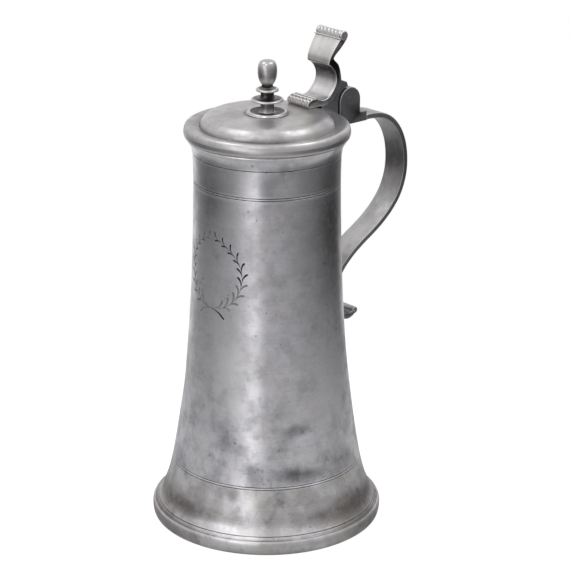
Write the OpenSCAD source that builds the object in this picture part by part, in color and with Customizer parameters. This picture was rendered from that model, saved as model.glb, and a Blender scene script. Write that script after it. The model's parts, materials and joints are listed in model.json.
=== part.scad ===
// Tall hinged-lid pewter flagon: a waisted drum on a spreading foot, a strap
// handle, and a domed lid with a turned finial and a scrolled thumbpiece.
// Millimetres. +Z is up, the origin is the centre of the foot on the table,
// and the handle stands out along +X.

/* [Body] */
// Height of the mouth above the table
mouth_h = 252; // [235:1:275]
// Outside diameter at the waist, a little under the mouth
waist_d = 92.2; // [86:0.2:98]
// Drop from the mouth down to the waist
waist_drop = 27; // [20:1:34]
// Outside diameter where the drum stands on the foot
joint_d = 121; // [112:1:130]
// Height of the joint between drum and foot
joint_h = 40; // [34:1:50]
// Thickness of the drum wall
drum_wall = 2; // [1.6:0.1:2.6]

/* [Foot] */
// Widest diameter of the foot
foot_d = 148.2; // [142:0.2:158]
// Height of the moulded band round the foot
band_h = 10; // [8:0.5:13]
// Width of the ring that the flagon stands on
band_w = 9; // [7:0.5:12]
// Thickness of the foot's wall
foot_wall = 2.3; // [1.8:0.1:3]
// Thickness of the floor of the drum
floor_t = 2.2; // [1.6:0.1:3]

/* [Mouth] */
// Height of the collar round the mouth
collar_h = 8.4; // [6:0.2:11]
// How far the lip stands out beyond the waist, all round
lip_flare = 3.7; // [2.4:0.1:4.4]

/* [Lid] */
// How far the lid's rim stands out beyond the lip, all round
lid_lap = 2.2; // [1.5:0.1:3.7]
// Height of the lid's rim
rim_h = 8.6; // [7.6:0.2:10]
// Width of the rim from the lid's edge in to the groove where the dome rises
rim_w = 9.8; // [8.5:0.1:12]
// Height of the dome above the rim's groove
dome_h = 7.5; // [5:0.5:9]
// Thickness of the lid's metal
lid_wall = 2; // [1.5:0.1:2.4]
// Depth that the bezel reaches into the mouth
bezel_drop = 4.2; // [3:0.2:6]
// Space left round the bezel in the mouth
bezel_gap = 1.2; // [1:0.1:1.6]
// Space between the resting lid and the lip
rest_gap = 0.3; // [0.2:0.05:0.5]

/* [Finial] */
// Diameter of the saucer under the finial
saucer_d = 26.2; // [22:0.2:30]
// Height of the saucer
saucer_h = 1.7; // [1.3:0.1:2.4]
// Height of the finial above the saucer's dish
finial_h = 32.9; // [28:0.2:40]
// Diameter of the finial's larger disc
disc_d = 20.4; // [17:0.2:24]
// Diameter of the finial's knob
knob_d = 12; // [10:0.2:15]
// Diameter of the shank that holds the finial in the lid
shank_d = 4; // [3:0.2:5]

/* [Hinge] */
// Distance from the lid's edge out to the hinge pin
hinge_out = 10.3; // [9.8:0.1:12]
// Height of the hinge pin above the mouth
hinge_rise = 14; // [13.8:0.1:16]
// Radius of the rounded top of the hinge lugs
lug_r = 8.8; // [8.2:0.1:9]
// Thickness of each hinge lug
lug_t = 4.6; // [3.6:0.1:5.4]
// Diameter of the hinge pin
pin_d = 4; // [3:0.1:5]

/* [Handle] */
// Width of the handle's strap at the top
strap_w = 17.4; // [15:0.2:20]
// Width of the strap at its lower end
strap_low_w = 18; // [16:0.2:22]
// Thickness of the strap
strap_t = 3.6; // [3:0.1:4.6]
// Distance from the hinge pin out to the outermost part of the strap
grip_out = 52.8; // [46:0.2:62]
// Drop from the mouth down to where the strap meets the drum
grip_drop = 111; // [100:1:120]

/* [Thumbpiece] */
// Height of the thumbpiece above the top of the lid
thumb_h = 45.8; // [40:0.2:52]
// Distance from the hinge pin forward to the thumbpiece's foot
thumb_front = 37; // [35:0.2:38]
// Width of the thumbpiece at its waist
thumb_w = 19.2; // [17.4:0.2:20.4]
// Width of the thumbpiece's top roll
roll_w = 23; // [21:0.5:26]

/* [Hidden] */

$fn = 96;
// Overrun of every cut past the faces that it opens
over = 1;

// Running clearances of the hinge
pin_gap = 0.05;
knuckle_gap = 0.35;
sweep_gap = 0.9;
lid_gap = 0.6;

// Incised lines
line_d = 0.35;
line_w = 0.7;
line_pitch = 1.4;

// Fall from the crest of the lid's rim to the groove
rim_crest = 1.2;

// Heights and radii that follow from the driving sizes
waist_r = waist_d / 2;
waist_h = mouth_h - waist_drop;
joint_r = joint_d / 2;
foot_r = foot_d / 2;
collar_z = mouth_h - collar_h;
lip_r = waist_r + lip_flare;
lid_r = lip_r + lid_lap;
dome_r = lid_r - rim_w;
hinge_x = lid_r + hinge_out;
reach = hinge_x + grip_out;
lid_z = mouth_h + rest_gap;
groove_z = lid_z + rim_h - rim_crest;
crown_z = groove_z + dome_h;
hinge_z = mouth_h + hinge_rise;

// The drum swells by this much again from its waist up to the collar
collar_swell = 0.4;
// How far the collar's foot stands proud of the drum
collar_step = 0.3;
// How far the foot's wall sets in above the moulded band
band_step = 2.9;
// Wall left between the lid's rim and its hollow
rim_wall = 6.5;
// Depth of the rim's underside above its resting face
rim_hollow = 5.5;
// Thickness of the bezel ring
bezel_t = 1.8;

// Drum radius as shares of the spread from waist to joint: a straight taper
// and a curve that opens towards the foot
taper_share = 0.18;
flare_power = 2.6;
function drum_r(z) =
    z > waist_h
    ? waist_r + collar_swell * pow((z - waist_h) / (collar_z - waist_h), 2)
    : let (t = (waist_h - z) / (waist_h - joint_h))
      waist_r + (joint_r - waist_r) * (taper_share * t + (1 - taper_share) * pow(t, flare_power));

// Foot radius as shares of the spread from joint to band
foot_taper_share = 0.6;
function skirt_r(z) =
    let (t = (joint_h - z) / (joint_h - band_h))
    joint_r + (foot_r - band_step - joint_r) * (foot_taper_share * t + (1 - foot_taper_share) * pow(t, 3));

function reversed(list) = [for (i = [len(list) - 1 : -1 : 0]) list[i]];
function levels(z0, z1, count) = [for (i = [0 : count]) z0 + (z1 - z0) * i / count];
// Points of an outline given as shares of a width and a height
function placed(shares, x0, z0, w, h) = [for (p = shares) [x0 + p[0] * w, z0 + p[1] * h]];

// A curve through control points, with a fixed number of steps to a span
curve_steps = 5;
function spline(a, b, c, d, t) =
    0.5 * (2 * b + (c - a) * t + (2 * a - 5 * b + 4 * c - d) * pow(t, 2)
           + (3 * b - a - 3 * c + d) * pow(t, 3));
function curve(p) =
    let (n = len(p) - 1)
    concat([for (i = [0 : n - 1], s = [0 : curve_steps - 1])
                spline(p[max(i - 1, 0)], p[i], p[i + 1], p[min(i + 2, n)], s / curve_steps)],
           [p[n]]);
function unit(v) = v / norm(v);
function along(p, i) = unit(p[min(i + 1, len(p) - 1)] - p[max(i - 1, 0)]);
// The outline of a strip that follows points p with half thickness h[i] at each
function strip(p, h) =
    let (side = [for (i = [0 : len(p) - 1]) let (d = along(p, i)) [-d[1], d[0]]])
    concat([for (i = [0 : len(p) - 1]) p[i] + side[i] * h[i]],
           [for (i = [len(p) - 1 : -1 : 0]) p[i] - side[i] * h[i]]);

// An outline in X and Z, made a plate of width w centred on Y = 0
module plate(w) {
    rotate([90, 0, 0]) linear_extrude(w, center = true) children();
}
module turned(outline) {
    rotate_extrude() polygon(outline);
}

drum_levels = 16;
wall_levels = 8;

module drum_outline_solid() {
    // The filled drum and collar, which the handle's fittings are cut to fit
    drum = [for (z = levels(joint_h, collar_z, drum_levels)) [drum_r(z), z]];
    turned(concat([[0, joint_h]], drum, collar_outside(), [[0, mouth_h]]));
}

module body_drum() {
    wave = levels(joint_h, collar_z, drum_levels);
    lines = [joint_h + line_w, waist_h + line_pitch / 2, waist_h - line_pitch / 2];
    outside = [for (z = wave) [drum_r(z), z]];
    inside = [for (z = wave) [drum_r(z) - drum_wall, z]];
    color("#9b9c9f") difference() {
        turned(concat(outside, reversed(inside)));
        for (z = lines) turned(line_ring(drum_r(z), z));
    }
}
// A ring that cuts one incised line, wide enough to clear the wall outside it
function line_ring(r, z) = [[r - line_d, z], [r + line_d, z - line_w], [r + line_d, z + line_w]];

module foot_skirt() {
    wave = levels(band_h, joint_h, wall_levels);
    line_z = joint_h - line_w;
    color("#97989b") difference() {
        turned(concat([for (z = wave) [skirt_r(z), z]],
                      reversed([for (z = wave) [skirt_r(z) - foot_wall, z]])));
        turned(line_ring(skirt_r(line_z), line_z));
    }
}

// The moulded band's outside, as shares of its height and of its swell
band_swell = 2.3;
band_shares = [[0, 0], [0.62, 0.12], [0.92, 0.36], [1, 0.62], [0.88, 0.84], [0.7, 0.93]];
bead_in = 1.3;
module foot_rim() {
    base_r = foot_r - band_swell;
    color("#a3a19c") turned(concat(
        placed(band_shares, base_r, 0, band_swell, band_h),
        [[foot_r - bead_in, band_h], [foot_r - band_w, band_h], [foot_r - band_w, 0]]));
}

// The floor rests on the foot's ring, inside the skirt
floor_gap = 0.05;
module floor_disc() {
    top = band_h + floor_t;
    color("#8d8e91") translate([0, 0, band_h])
        cylinder(h = floor_t, r = skirt_r(top) - foot_wall - floor_gap);
}

// The collar's outside, as shares from its foot to the lip
collar_shares = [[0, 0], [0.08, 0.22], [0.3, 0.48], [0.68, 0.74], [1, 0.93], [0.97, 1]];
function collar_outside() =
    let (r0 = drum_r(collar_z) + collar_step)
    placed(collar_shares, r0, collar_z, lip_r - r0, collar_h);
module mouth_collar() {
    inner = drum_r(collar_z) - drum_wall;
    color("#a0a0a1") turned(concat(collar_outside(), [[inner, mouth_h], [inner, collar_z]]));
}

// The lid's rim outside, as shares of the rim's overhang and height
rim_shares = [[-1, 0], [-0.25, 0.16], [0, 0.43], [-0.06, 0.62], [-0.3, 0.82], [-0.75, 0.955],
              [-1.35, 1], [-2.1, 0.99]];
// The dome, as shares of its radius and height
dome_shares = [[1, 0], [0.99, 0.09], [0.976, 0.3], [0.952, 0.51], [0.905, 0.76], [0.853, 0.89],
               [0.782, 0.96], [0.69, 0.99], [0.57, 1], [0, 1]];
rim_overhang = 2.1;
function lid_outside() = concat(
    placed(rim_shares, lid_r, lid_z, rim_overhang, rim_h),
    placed(dome_shares, 0, groove_z, dome_r, dome_h));
module lid_outline_solid() {
    turned(concat(lid_outside(), [[0, lid_z]]));
}
module lid_cover() {
    hollow = concat(
        [[lid_r - rim_wall, lid_z], [lid_r - rim_wall, lid_z + rim_hollow],
         [dome_r - 2 * lid_wall, lid_z + rim_hollow]],
        placed(inner_dome_shares, 0, crown_z - lid_wall, dome_r, dome_h));
    color("#a8a5a0") difference() {
        turned(concat(lid_outside(), reversed(hollow)));
        translate([0, 0, lid_z]) cylinder(h = crown_z, r = shank_d / 2 + fit_gap);
    }
}
// The dome's underside, as shares of the same radius and height
inner_dome_shares = [[0.88, -0.45], [0.84, -0.2], [0.78, -0.08], [0.68, -0.02], [0.55, 0], [0, 0]];
fit_gap = 0.03;

function mouth_r() = drum_r(collar_z) - drum_wall;
module lid_bezel() {
    outer = mouth_r() - bezel_gap;
    color("#8f8f92") turned([
        [outer, mouth_h - bezel_drop], [outer, lid_z + rim_hollow],
        [outer - bezel_t, lid_z + rim_hollow], [outer - bezel_t, mouth_h - bezel_drop]]);
}

// The saucer in section, as shares of its radius and height
saucer_shares = [[0.96, 0], [1, 0.16], [0.985, 0.4], [0.94, 0.9], [0.89, 1], [0.83, 0.93],
                 [0.77, 0.68], [0.45, 0.5]];
dish_share = 0.5;
module finial_saucer() {
    hole = shank_d / 2 + fit_gap;
    color("#8b8a88") turned(concat(
        [[hole, crown_z]], placed(saucer_shares, 0, crown_z, saucer_d / 2, saucer_h),
        [[hole, crown_z + dish_share * saucer_h]]));
}

// The finial in section: shares of the disc's radius, or of the knob's, and
// of the finial's height
stem_shares = [[0.39, 0], [0.39, 0.208], [0.96, 0.214], [1, 0.232], [0.995, 0.25], [0.93, 0.264],
               [0.8, 0.262], [0.45, 0.285], [0.375, 0.3], [0.375, 0.398], [0.62, 0.405],
               [0.7, 0.418], [0.705, 0.436], [0.66, 0.455], [0.53, 0.464], [0.37, 0.485]];
knob_shares = [[0.59, 0.495], [0.585, 0.532], [0.71, 0.565], [0.87, 0.61], [0.965, 0.67],
               [1, 0.735], [0.985, 0.81], [0.93, 0.878], [0.83, 0.932], [0.68, 0.966],
               [0.5, 0.988], [0.25, 0.998], [0, 1]];
washer_t = 1.2;
washer_r = 6;
peen_t = 1.4;
peen_r = 3.4;
module finial() {
    z0 = crown_z + dish_share * saucer_h;
    shank = shank_d / 2;
    low = crown_z - lid_wall - washer_t;
    color("#94918e") turned(concat(
        [[0, low - peen_t], [peen_r, low - peen_t], [peen_r, low], [shank, low], [shank, z0]],
        placed(stem_shares, 0, z0, disc_d / 2, finial_h),
        placed(knob_shares, 0, z0, knob_d / 2, finial_h)));
}
module finial_washer() {
    z0 = crown_z - lid_wall - washer_t;
    hole = shank_d / 2 + fit_gap;
    color("#86878a") turned([[hole, z0], [washer_r, z0], [washer_r, z0 + washer_t],
                             [hole, z0 + washer_t]]);
}

// Hinge: two lugs on the handle's block carry the pin, and the knuckle of the
// lid's bracket turns between them
lug_proud = 0.3;
block_w = strap_w + 2 * lug_proud;
knuckle_w = block_w - 2 * lug_t - 2 * knuckle_gap;
knuckle_r = lug_r - knuckle_gap;
block_top = hinge_z - lug_r;
ledge = 6;
ledge_x = hinge_x + lug_r + ledge;
strap_z = mouth_h + 0.4;
under_z = strap_z - strap_t / 2;
// The block's underside as it sweeps down onto the drum, as shares of the way
// from the hinge in to the drum and of the drop
heel_drop = 19;
heel_shares = [[0, 0], [0.25, -0.03], [0.5, -0.14], [0.72, -0.36], [0.88, -0.64], [1, -1]];

module hinge_pin_axis(h, r) {
    translate([hinge_x, 0, hinge_z]) rotate([90, 0, 0]) cylinder(h = h, r = r, center = true);
}
module hinge_block() {
    drum_x = drum_r(mouth_h - heel_drop) - drum_wall / 2;
    shelf_z = mouth_h - lid_gap;
    color("#6f7074") difference() {
        union() {
            plate(block_w) polygon(concat(
                [[drum_x, shelf_z], [hinge_x - lug_r, shelf_z], [hinge_x - lug_r, block_top],
                 [ledge_x, block_top], [ledge_x, under_z]],
                placed(heel_shares, hinge_x, under_z, drum_x - hinge_x, heel_drop)));
            for (side = [-1, 1])
                translate([0, side * (block_w - lug_t) / 2, 0]) plate(lug_t) {
                    translate([hinge_x, hinge_z]) circle(lug_r);
                    translate([hinge_x - lug_r, block_top]) square([2 * lug_r, lug_r]);
                }
        }
        drum_outline_solid();
        strap_shape();
        hinge_pin_axis(block_w + over, pin_d / 2);
    }
}

// The pin's ends are peened over the lugs
pin_head_t = 0.2;
pin_head_r = 2.7;
module hinge_pin() {
    color("#77787b") {
        hinge_pin_axis(block_w, pin_d / 2);
        for (side = [-1, 1])
            translate([hinge_x, side * (block_w + pin_head_t) / 2, hinge_z])
                rotate([90, 0, 0]) cylinder(h = pin_head_t, r = pin_head_r, center = true);
    }
}

// The strap's centre line: shares of the way from the drum out to the reach,
// and of the drop from the strap's top down to where it meets the drum
strap_shares = [[0.47, 0.002], [0.64, -0.01], [0.785, -0.05], [0.9, -0.12], [0.972, -0.21],
                [1, -0.31], [0.985, -0.41], [0.917, -0.508], [0.805, -0.588], [0.672, -0.652],
                [0.537, -0.702], [0.382, -0.752], [0.222, -0.814], [0.092, -0.885], [0.018, -0.965],
                [0, -1.03]];
// The tail carries straight on from the strap, then flicks outwards
tail_shares = [[0.015, -1.08], [0.075, -1.125], [0.17, -1.155], [0.275, -1.176]];
tail_thick_shares = [1, 1, 1.15, 1.35, 1.2, 0.9];
tail_lead = 0.8;
pad_t = 0.9;
roll_r = 2;
meet_z = mouth_h - grip_drop;
strap_x0 = drum_r(meet_z) + pad_t + strap_t / 2;
strap_x1 = reach - strap_t / 2;
function strap_place(shares) = placed(shares, strap_x0, strap_z, strap_x1 - strap_x0, strap_z - meet_z);
strap_path = curve(concat([[ledge_x, strap_z]], strap_place(strap_shares)));
strap_last = len(strap_path) - 1;
strap_end = strap_path[strap_last];
tail_start = strap_end + tail_lead * along(strap_path, strap_last);
tail_path = concat([strap_end], curve(concat([tail_start], strap_place(tail_shares))));
tail_tip = tail_path[len(tail_path) - 1];
function tail_half(i) =
    let (last = len(tail_thick_shares) - 1,
         s = i / (len(tail_path) - 1) * last,
         k = min(floor(s), last - 1))
    strap_t / 2 * (tail_thick_shares[k] + (s - k) * (tail_thick_shares[k + 1] - tail_thick_shares[k]));

// The strap widens from its top to its lower end
module strap_taper() {
    top = strap_z + strap_t;
    low = tail_tip[1] - roll_r;
    rotate([90, 0, 90]) linear_extrude(reach + over)
        polygon([[-strap_w / 2, top], [strap_w / 2, top], [strap_low_w / 2, low], [-strap_low_w / 2, low]]);
}
// Wider than the strap at any height
blank_w = strap_w + strap_low_w;
module strap_shape() {
    plate(blank_w) polygon(strip(strap_path, [for (p = strap_path) strap_t / 2]));
}
module handle_strap() {
    color("#7c7d80") intersection() {
        strap_shape();
        strap_taper();
    }
}
module handle_tail() {
    half = [for (i = [0 : len(tail_path) - 1]) tail_half(i)];
    color("#6f7073") intersection() {
        union() {
            plate(blank_w) polygon(strip(tail_path, half));
            plate(blank_w) translate(tail_tip) circle(roll_r);
        }
        strap_taper();
    }
}

// The pad that the strap is soldered to
pad_h = 12;
pad_w = 14;
pad_drop_share = 0.25;
module handle_pad() {
    color("#77787b") difference() {
        translate([drum_r(meet_z) - drum_wall / 2, -pad_w / 2, meet_z - pad_drop_share * pad_h])
            cube([drum_wall / 2 + pad_t + strap_t / 2, pad_w, pad_h]);
        drum_outline_solid();
        strap_shape();
    }
}

// Thumbpiece outline, as shares of the way from its foot back to the hinge and
// of its height above the lid: the foot, the open C, the beak, the leaning
// plate, its top roll, and back down behind
thumb_foot_shares = [[0.03, 0.0], [0, 0.035], [0, 0.075], [0.06, 0.108], [0.13, 0.12], [0.215, 0.115],
                     [0.3, 0.085]];
thumb_c_shares = [[0.3, 0.085], [0.38, 0.082], [0.475, 0.107], [0.57, 0.182], [0.628, 0.26],
                  [0.645, 0.325], [0.636, 0.39], [0.59, 0.463], [0.53, 0.515], [0.46, 0.553]];
thumb_plate_shares = [[0.455, 0.577], [0.485, 0.655], [0.54, 0.735], [0.603, 0.81], [0.675, 0.888],
                      [0.695, 0.893], [0.69, 0.93], [0.708, 0.968], [0.752, 0.998], [0.8, 0.996],
                      [0.848, 0.955], [0.856, 0.905], [0.835, 0.872]];
thumb_back_shares = [[0.835, 0.872], [0.765, 0.8], [0.69, 0.735], [0.62, 0.685], [0.578, 0.64], [0.58, 0.622]];
thumb_hump_shares = [[0.58, 0.622], [0.64, 0.578], [0.7, 0.53], [0.737, 0.46], [0.762, 0.36],
                     [0.768, 0.3], [0.748, 0.225], [0.69, 0.14], [0.57, 0.05], [0.45, 0]];
thumb_x = hinge_x - thumb_front;
function thumb_place(shares) = placed(shares, thumb_x, crown_z, thumb_front, thumb_h);
thumb_outline = concat(thumb_place(thumb_foot_shares), curve(thumb_place(thumb_c_shares)),
                       thumb_place(thumb_plate_shares), curve(thumb_place(thumb_back_shares)),
                       curve(thumb_place(thumb_hump_shares)));

// The thumbpiece is narrowest at its beak and widens to the roll and the foot
foot_w_share = 1.05;
waist_share = 0.5;
roll_share = 0.89;
module thumb_taper() {
    low = foot_w_share * thumb_w / 2;
    mid = thumb_w / 2;
    top = roll_w / 2;
    waist_z = crown_z + waist_share * thumb_h;
    roll_z = crown_z + roll_share * thumb_h;
    end_z = crown_z + thumb_h + over;
    rotate([90, 0, 90]) linear_extrude(hinge_x)
        polygon([[-low, groove_z], [low, groove_z], [mid, waist_z], [top, roll_z], [top, end_z],
                 [-top, end_z], [-top, roll_z], [-mid, waist_z]]);
}
module thumb_shape() {
    intersection() {
        plate(thumb_w + roll_w) polygon(thumb_outline);
        thumb_taper();
    }
}
module thumbpiece() {
    color("#b3b1af") difference() {
        thumb_shape();
        lid_outline_solid();
    }
}

// The bracket runs from the lid over its rim to the hinge's knuckle, and
// stands up behind the thumbpiece's C in two steps
bracket_w = 16.6;
bracket_shares = [[0.36, -0.16], [0.36, 0.02], [0.6, 0.11], [0.72, 0.3], [0.775, 0.302],
                  [0.83, 0.287], [0.935, 0.25], [0.96, 0.19]];
module bracket_outline() {
    back_x = hinge_x - lug_r - lid_gap;
    polygon(concat(thumb_place(bracket_shares),
                   [[hinge_x, hinge_z], [back_x, block_top + lid_gap], [back_x, lid_z]]));
}
module lid_bracket() {
    keep_out = lug_r + sweep_gap;
    color("#67686c") difference() {
        union() {
            plate(knuckle_w) {
                bracket_outline();
                translate([hinge_x, hinge_z]) circle(knuckle_r);
            }
            difference() {
                plate(bracket_w) bracket_outline();
                hinge_pin_axis(block_w + over, keep_out);
                translate([hinge_x - lug_r - lid_gap, -block_w / 2, lid_z - over])
                    cube([2 * lug_r, block_w, hinge_z - lid_z + over]);
            }
        }
        lid_outline_solid();
        thumb_shape();
        hinge_pin_axis(block_w + over, pin_d / 2 + pin_gap);
    }
}

body_drum();
foot_skirt();
foot_rim();
floor_disc();
mouth_collar();
hinge_block();
hinge_pin();
handle_strap();
handle_tail();
handle_pad();
lid_cover();
lid_bezel();
finial_saucer();
finial();
finial_washer();
lid_bracket();
thumbpiece();
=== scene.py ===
"""A tall hinged-lid pewter flagon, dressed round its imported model.

Everything is in metres in the model's own frame: +Z is up, the centre of the
foot is the origin, and the handle stands out along +X.
"""
import json
import math

import bmesh
import bpy
import numpy as np
from bpy.props import FloatProperty, FloatVectorProperty, IntProperty, PointerProperty
from mathutils import Matrix, Vector


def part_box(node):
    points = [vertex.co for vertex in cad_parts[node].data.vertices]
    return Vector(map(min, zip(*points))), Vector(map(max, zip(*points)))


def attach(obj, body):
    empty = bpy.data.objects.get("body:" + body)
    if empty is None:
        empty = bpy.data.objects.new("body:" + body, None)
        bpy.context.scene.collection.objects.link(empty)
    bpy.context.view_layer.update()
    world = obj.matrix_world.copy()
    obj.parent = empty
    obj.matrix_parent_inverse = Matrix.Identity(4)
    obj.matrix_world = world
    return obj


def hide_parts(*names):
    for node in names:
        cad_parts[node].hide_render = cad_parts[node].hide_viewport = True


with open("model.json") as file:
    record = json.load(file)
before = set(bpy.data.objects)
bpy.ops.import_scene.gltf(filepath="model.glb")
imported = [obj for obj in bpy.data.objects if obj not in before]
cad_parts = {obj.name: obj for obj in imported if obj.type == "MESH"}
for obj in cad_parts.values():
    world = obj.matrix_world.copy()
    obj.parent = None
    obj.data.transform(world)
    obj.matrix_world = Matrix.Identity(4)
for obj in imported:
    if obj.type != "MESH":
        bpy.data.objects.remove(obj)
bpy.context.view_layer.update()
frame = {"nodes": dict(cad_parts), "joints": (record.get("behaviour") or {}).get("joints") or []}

bl_info = {
    "name": "Pewter Flagon",
    "version": (1, 0, 0),
    "blender": (4, 5, 0),
    "location": "3D View > Sidebar > Flagon",
    "description": "Dresses a hinged-lid pewter flagon round its packed model",
    "category": "Object",
}

MM = 0.001
HINGE = Vector(frame["joints"][0]["pos_m"])
VESSEL = "vessel"
LID = "lid"


def low(node):
    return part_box(node)[0]


def high(node):
    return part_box(node)[1]


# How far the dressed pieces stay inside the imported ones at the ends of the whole
EASE = 0.08 * MM
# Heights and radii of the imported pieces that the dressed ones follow
JOINT_Z = low("body_drum").z
JOINT_R = high("body_drum").x
COLLAR_Z = low("mouth_collar").z
MOUTH_Z = high("mouth_collar").z
LIP_R = high("mouth_collar").x
BAND_Z = high("foot_rim").z
FOOT_R = high("foot_rim").x - EASE
LID_Z = low("lid_cover").z
LID_R = high("lid_cover").x
CROWN_Z = high("lid_cover").z
FINIAL_Z = high("finial").z
REACH_X = high("handle_strap").x - EASE
THUMB_X = low("thumbpiece").x
THUMB_Z = high("thumbpiece").z - EASE
BLOCK_HALF = high("hinge_block").y
LEDGE_X = high("hinge_block").x


def length(name, description, millimetres):
    return FloatProperty(name=name, description=description, default=millimetres * MM,
                         unit="LENGTH", subtype="DISTANCE", precision=5)


def colour(name, description, red, green, blue):
    return FloatVectorProperty(name=name, description=description, default=(red, green, blue),
                               subtype="COLOR", min=0, max=1)


class FlagonSizes(bpy.types.PropertyGroup):
    """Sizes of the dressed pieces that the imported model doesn't give by itself"""
    waist_r: length("Waist radius", "Outside radius of the drum at its narrowest", 46.1)
    waist_drop: length("Waist drop", "Drop from the mouth down to the waist", 27)
    drum_wall: length("Drum wall", "Thickness of the drum's wall", 2)
    foot_wall: length("Foot wall", "Thickness of the foot's wall", 2.3)
    line_depth: length("Line depth", "Depth of the incised lines", 0.35)
    line_width: length("Line width", "Width of the incised lines", 0.7)
    line_pitch: length("Line pitch", "Distance between two incised lines", 1.4)
    dent_depth: length("Dent depth", "Depth of the deepest dent in the drum", 0.8)
    wreath_z: length("Wreath height", "Height of the wreath's centre above the table", 174)
    leaf_long: length("Leaf length", "Length of one engraved leaf", 8.6)
    leaf_wide: length("Leaf width", "Width of one engraved leaf at its tip", 1.5)
    leaf_count: IntProperty(name="Leaves", description="Leaves on each branch", default=20)
    lid_wall: length("Lid wall", "Thickness of the lid's metal", 2)
    rim_wide: length("Rim width", "Width of the lid's rim in to the dome's groove", 9.8)
    shank_d: length("Shank diameter", "Diameter of the finial's shank", 4)
    saucer_d: length("Saucer diameter", "Diameter of the saucer under the finial", 26.2)
    saucer_h: length("Saucer height", "Height of the saucer", 1.7)
    disc_d: length("Disc diameter", "Diameter of the finial's larger disc", 20.4)
    knob_d: length("Knob diameter", "Diameter of the finial's knob", 12)
    strap_t: length("Strap thickness", "Thickness of the handle's strap", 3.6)
    strap_w: length("Strap width", "Width of the strap at its top", 17.4)
    strap_low_w: length("Strap foot width", "Width of the strap at its lower end", 18)
    grip_drop: length("Grip drop", "Drop from the mouth to where the strap meets the drum", 111)
    edge_round: length("Edge rounding", "Radius of the worn edges of cast pieces", 0.6)
    lug_r: length("Lug radius", "Radius of the hinge lugs' tops", 8.8)
    lug_t: length("Lug thickness", "Thickness of each hinge lug", 4.6)
    thumb_w: length("Thumbpiece width", "Width of the thumbpiece at its waist", 19.2)
    roll_w: length("Roll width", "Width of the thumbpiece's top roll", 23)
    thumb_dish: length("Thumb dish", "Depth of the dished front of the thumbpiece", 0.45)
    gadroon_count: IntProperty(name="Gadroons", description="Slanted ridges on the roll", default=6)
    bead_count: IntProperty(name="Beads", description="Beads in a row on the foot", default=12)


class FlagonColours(bpy.types.PropertyGroup):
    """Colours of the worn pewter and of the studio"""
    drum: colour("Drum", "Metal of the drum and collar", 0.785, 0.77, 0.812)
    foot: colour("Foot", "Metal of the foot", 0.74, 0.725, 0.74)
    lid: colour("Lid", "Metal of the lid", 0.6, 0.585, 0.595)
    finial: colour("Finial", "Metal of the finial", 0.52, 0.507, 0.51)
    handle: colour("Handle", "Metal of the handle", 0.47, 0.46, 0.465)
    hinge: colour("Hinge", "Darker metal of the hinge", 0.33, 0.327, 0.35)
    thumb: colour("Thumbpiece", "Metal of the thumbpiece", 0.74, 0.722, 0.72)
    patina: colour("Patina", "Tarnish of the clouded places", 0.22, 0.215, 0.23)
    warmth: colour("Warmth", "Yellowish tarnish", 0.48, 0.455, 0.42)
    # The dirt colour also paints shade: in joins and at the painted-shade spots of the drum, finial, handle
    # and thumbpiece
    dirt: colour("Dirt", "Dirt in pits and hollows", 0.03, 0.028, 0.027)
    # The soil colour also paints shade on the sides of the foot and on the front of the lid's rim
    soil_and_painted_shade: colour("Soil", "Brown dirt on the foot", 0.125, 0.112, 0.1)
    engraving: colour("Engraving", "Dirt in the engraved strokes", 0.18, 0.178, 0.18)
    floor: colour("Floor", "Pale surface that the flagon stands on", 0.55, 0.55, 0.55)


class FlagonStudio(bpy.types.PropertyGroup):
    """Camera and lamps, seen from the camera's side"""
    turn: FloatProperty(name="Turn", description="Turn of the flagon before the camera",
                        default=math.radians(42), subtype="ANGLE")
    tilt: FloatProperty(name="Tilt", description="How far the camera looks down",
                        default=math.radians(19.558), subtype="ANGLE")
    roll: FloatProperty(name="Roll", description="Roll of the camera",
                        default=math.radians(0.306), subtype="ANGLE")
    distance: FloatProperty(name="Distance", description="Distance from camera to aim",
                            default=1.45, unit="LENGTH")
    aim_x: length("Aim across", "Aim point across the picture from the axis", 11.52)
    aim_z: length("Aim height", "Height of the aim point", 154.5)
    lens: FloatProperty(name="Lens", description="Focal length in millimetres", default=144.33)
    strip_power: FloatProperty(name="Strip light", description="Power of the strip light", default=2.0)
    front_power: FloatProperty(name="Front light", default=0.9,
                               description="Power of the light above the camera")
    side_power: FloatProperty(name="Side lights", default=1.7,
                              description="Power of the high lights at each side")


def sizes():
    return bpy.context.scene.flagon_sizes


def colours():
    return bpy.context.scene.flagon_colours


# Outlines

# Points nearer than this are one point, and points nearer to the axis lie on it
SAME_POINT = 1e-6
ON_AXIS = 1e-7
# How far along an outline an edge's wear reaches, and how fast it is full
EDGE_REACH = 0.45 * MM
EDGE_GAIN = 1.1


def levels(start, end, count):
    return [start + (end - start) * i / count for i in range(count + 1)]


def placed(shares, x0, z0, wide, tall):
    """Points of an outline given as shares of a width and a height."""
    return [(x0 + x * wide, z0 + z * tall) for x, z in shares]


def smooth(points, steps=6):
    """A curve through the points, with a fixed number of steps to a span."""
    p = np.array(points, float)
    last = len(p) - 1
    made = []
    for i in range(last):
        a, b, c, d = p[max(i - 1, 0)], p[i], p[i + 1], p[min(i + 2, last)]
        for t in np.arange(steps) / steps:
            made.append(tuple(0.5 * (2 * b + (c - a) * t + (2 * a - 5 * b + 4 * c - d) * t ** 2
                                     + (3 * b - a - 3 * c + d) * t ** 3)))
    return made + [tuple(p[last])]


def arc(x, z, radius, start, end, steps):
    """Points round a centre, from one angle in degrees to another."""
    return [(x + radius * math.cos(a), z + radius * math.sin(a))
            for a in np.radians(levels(start, end, steps))]


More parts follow.
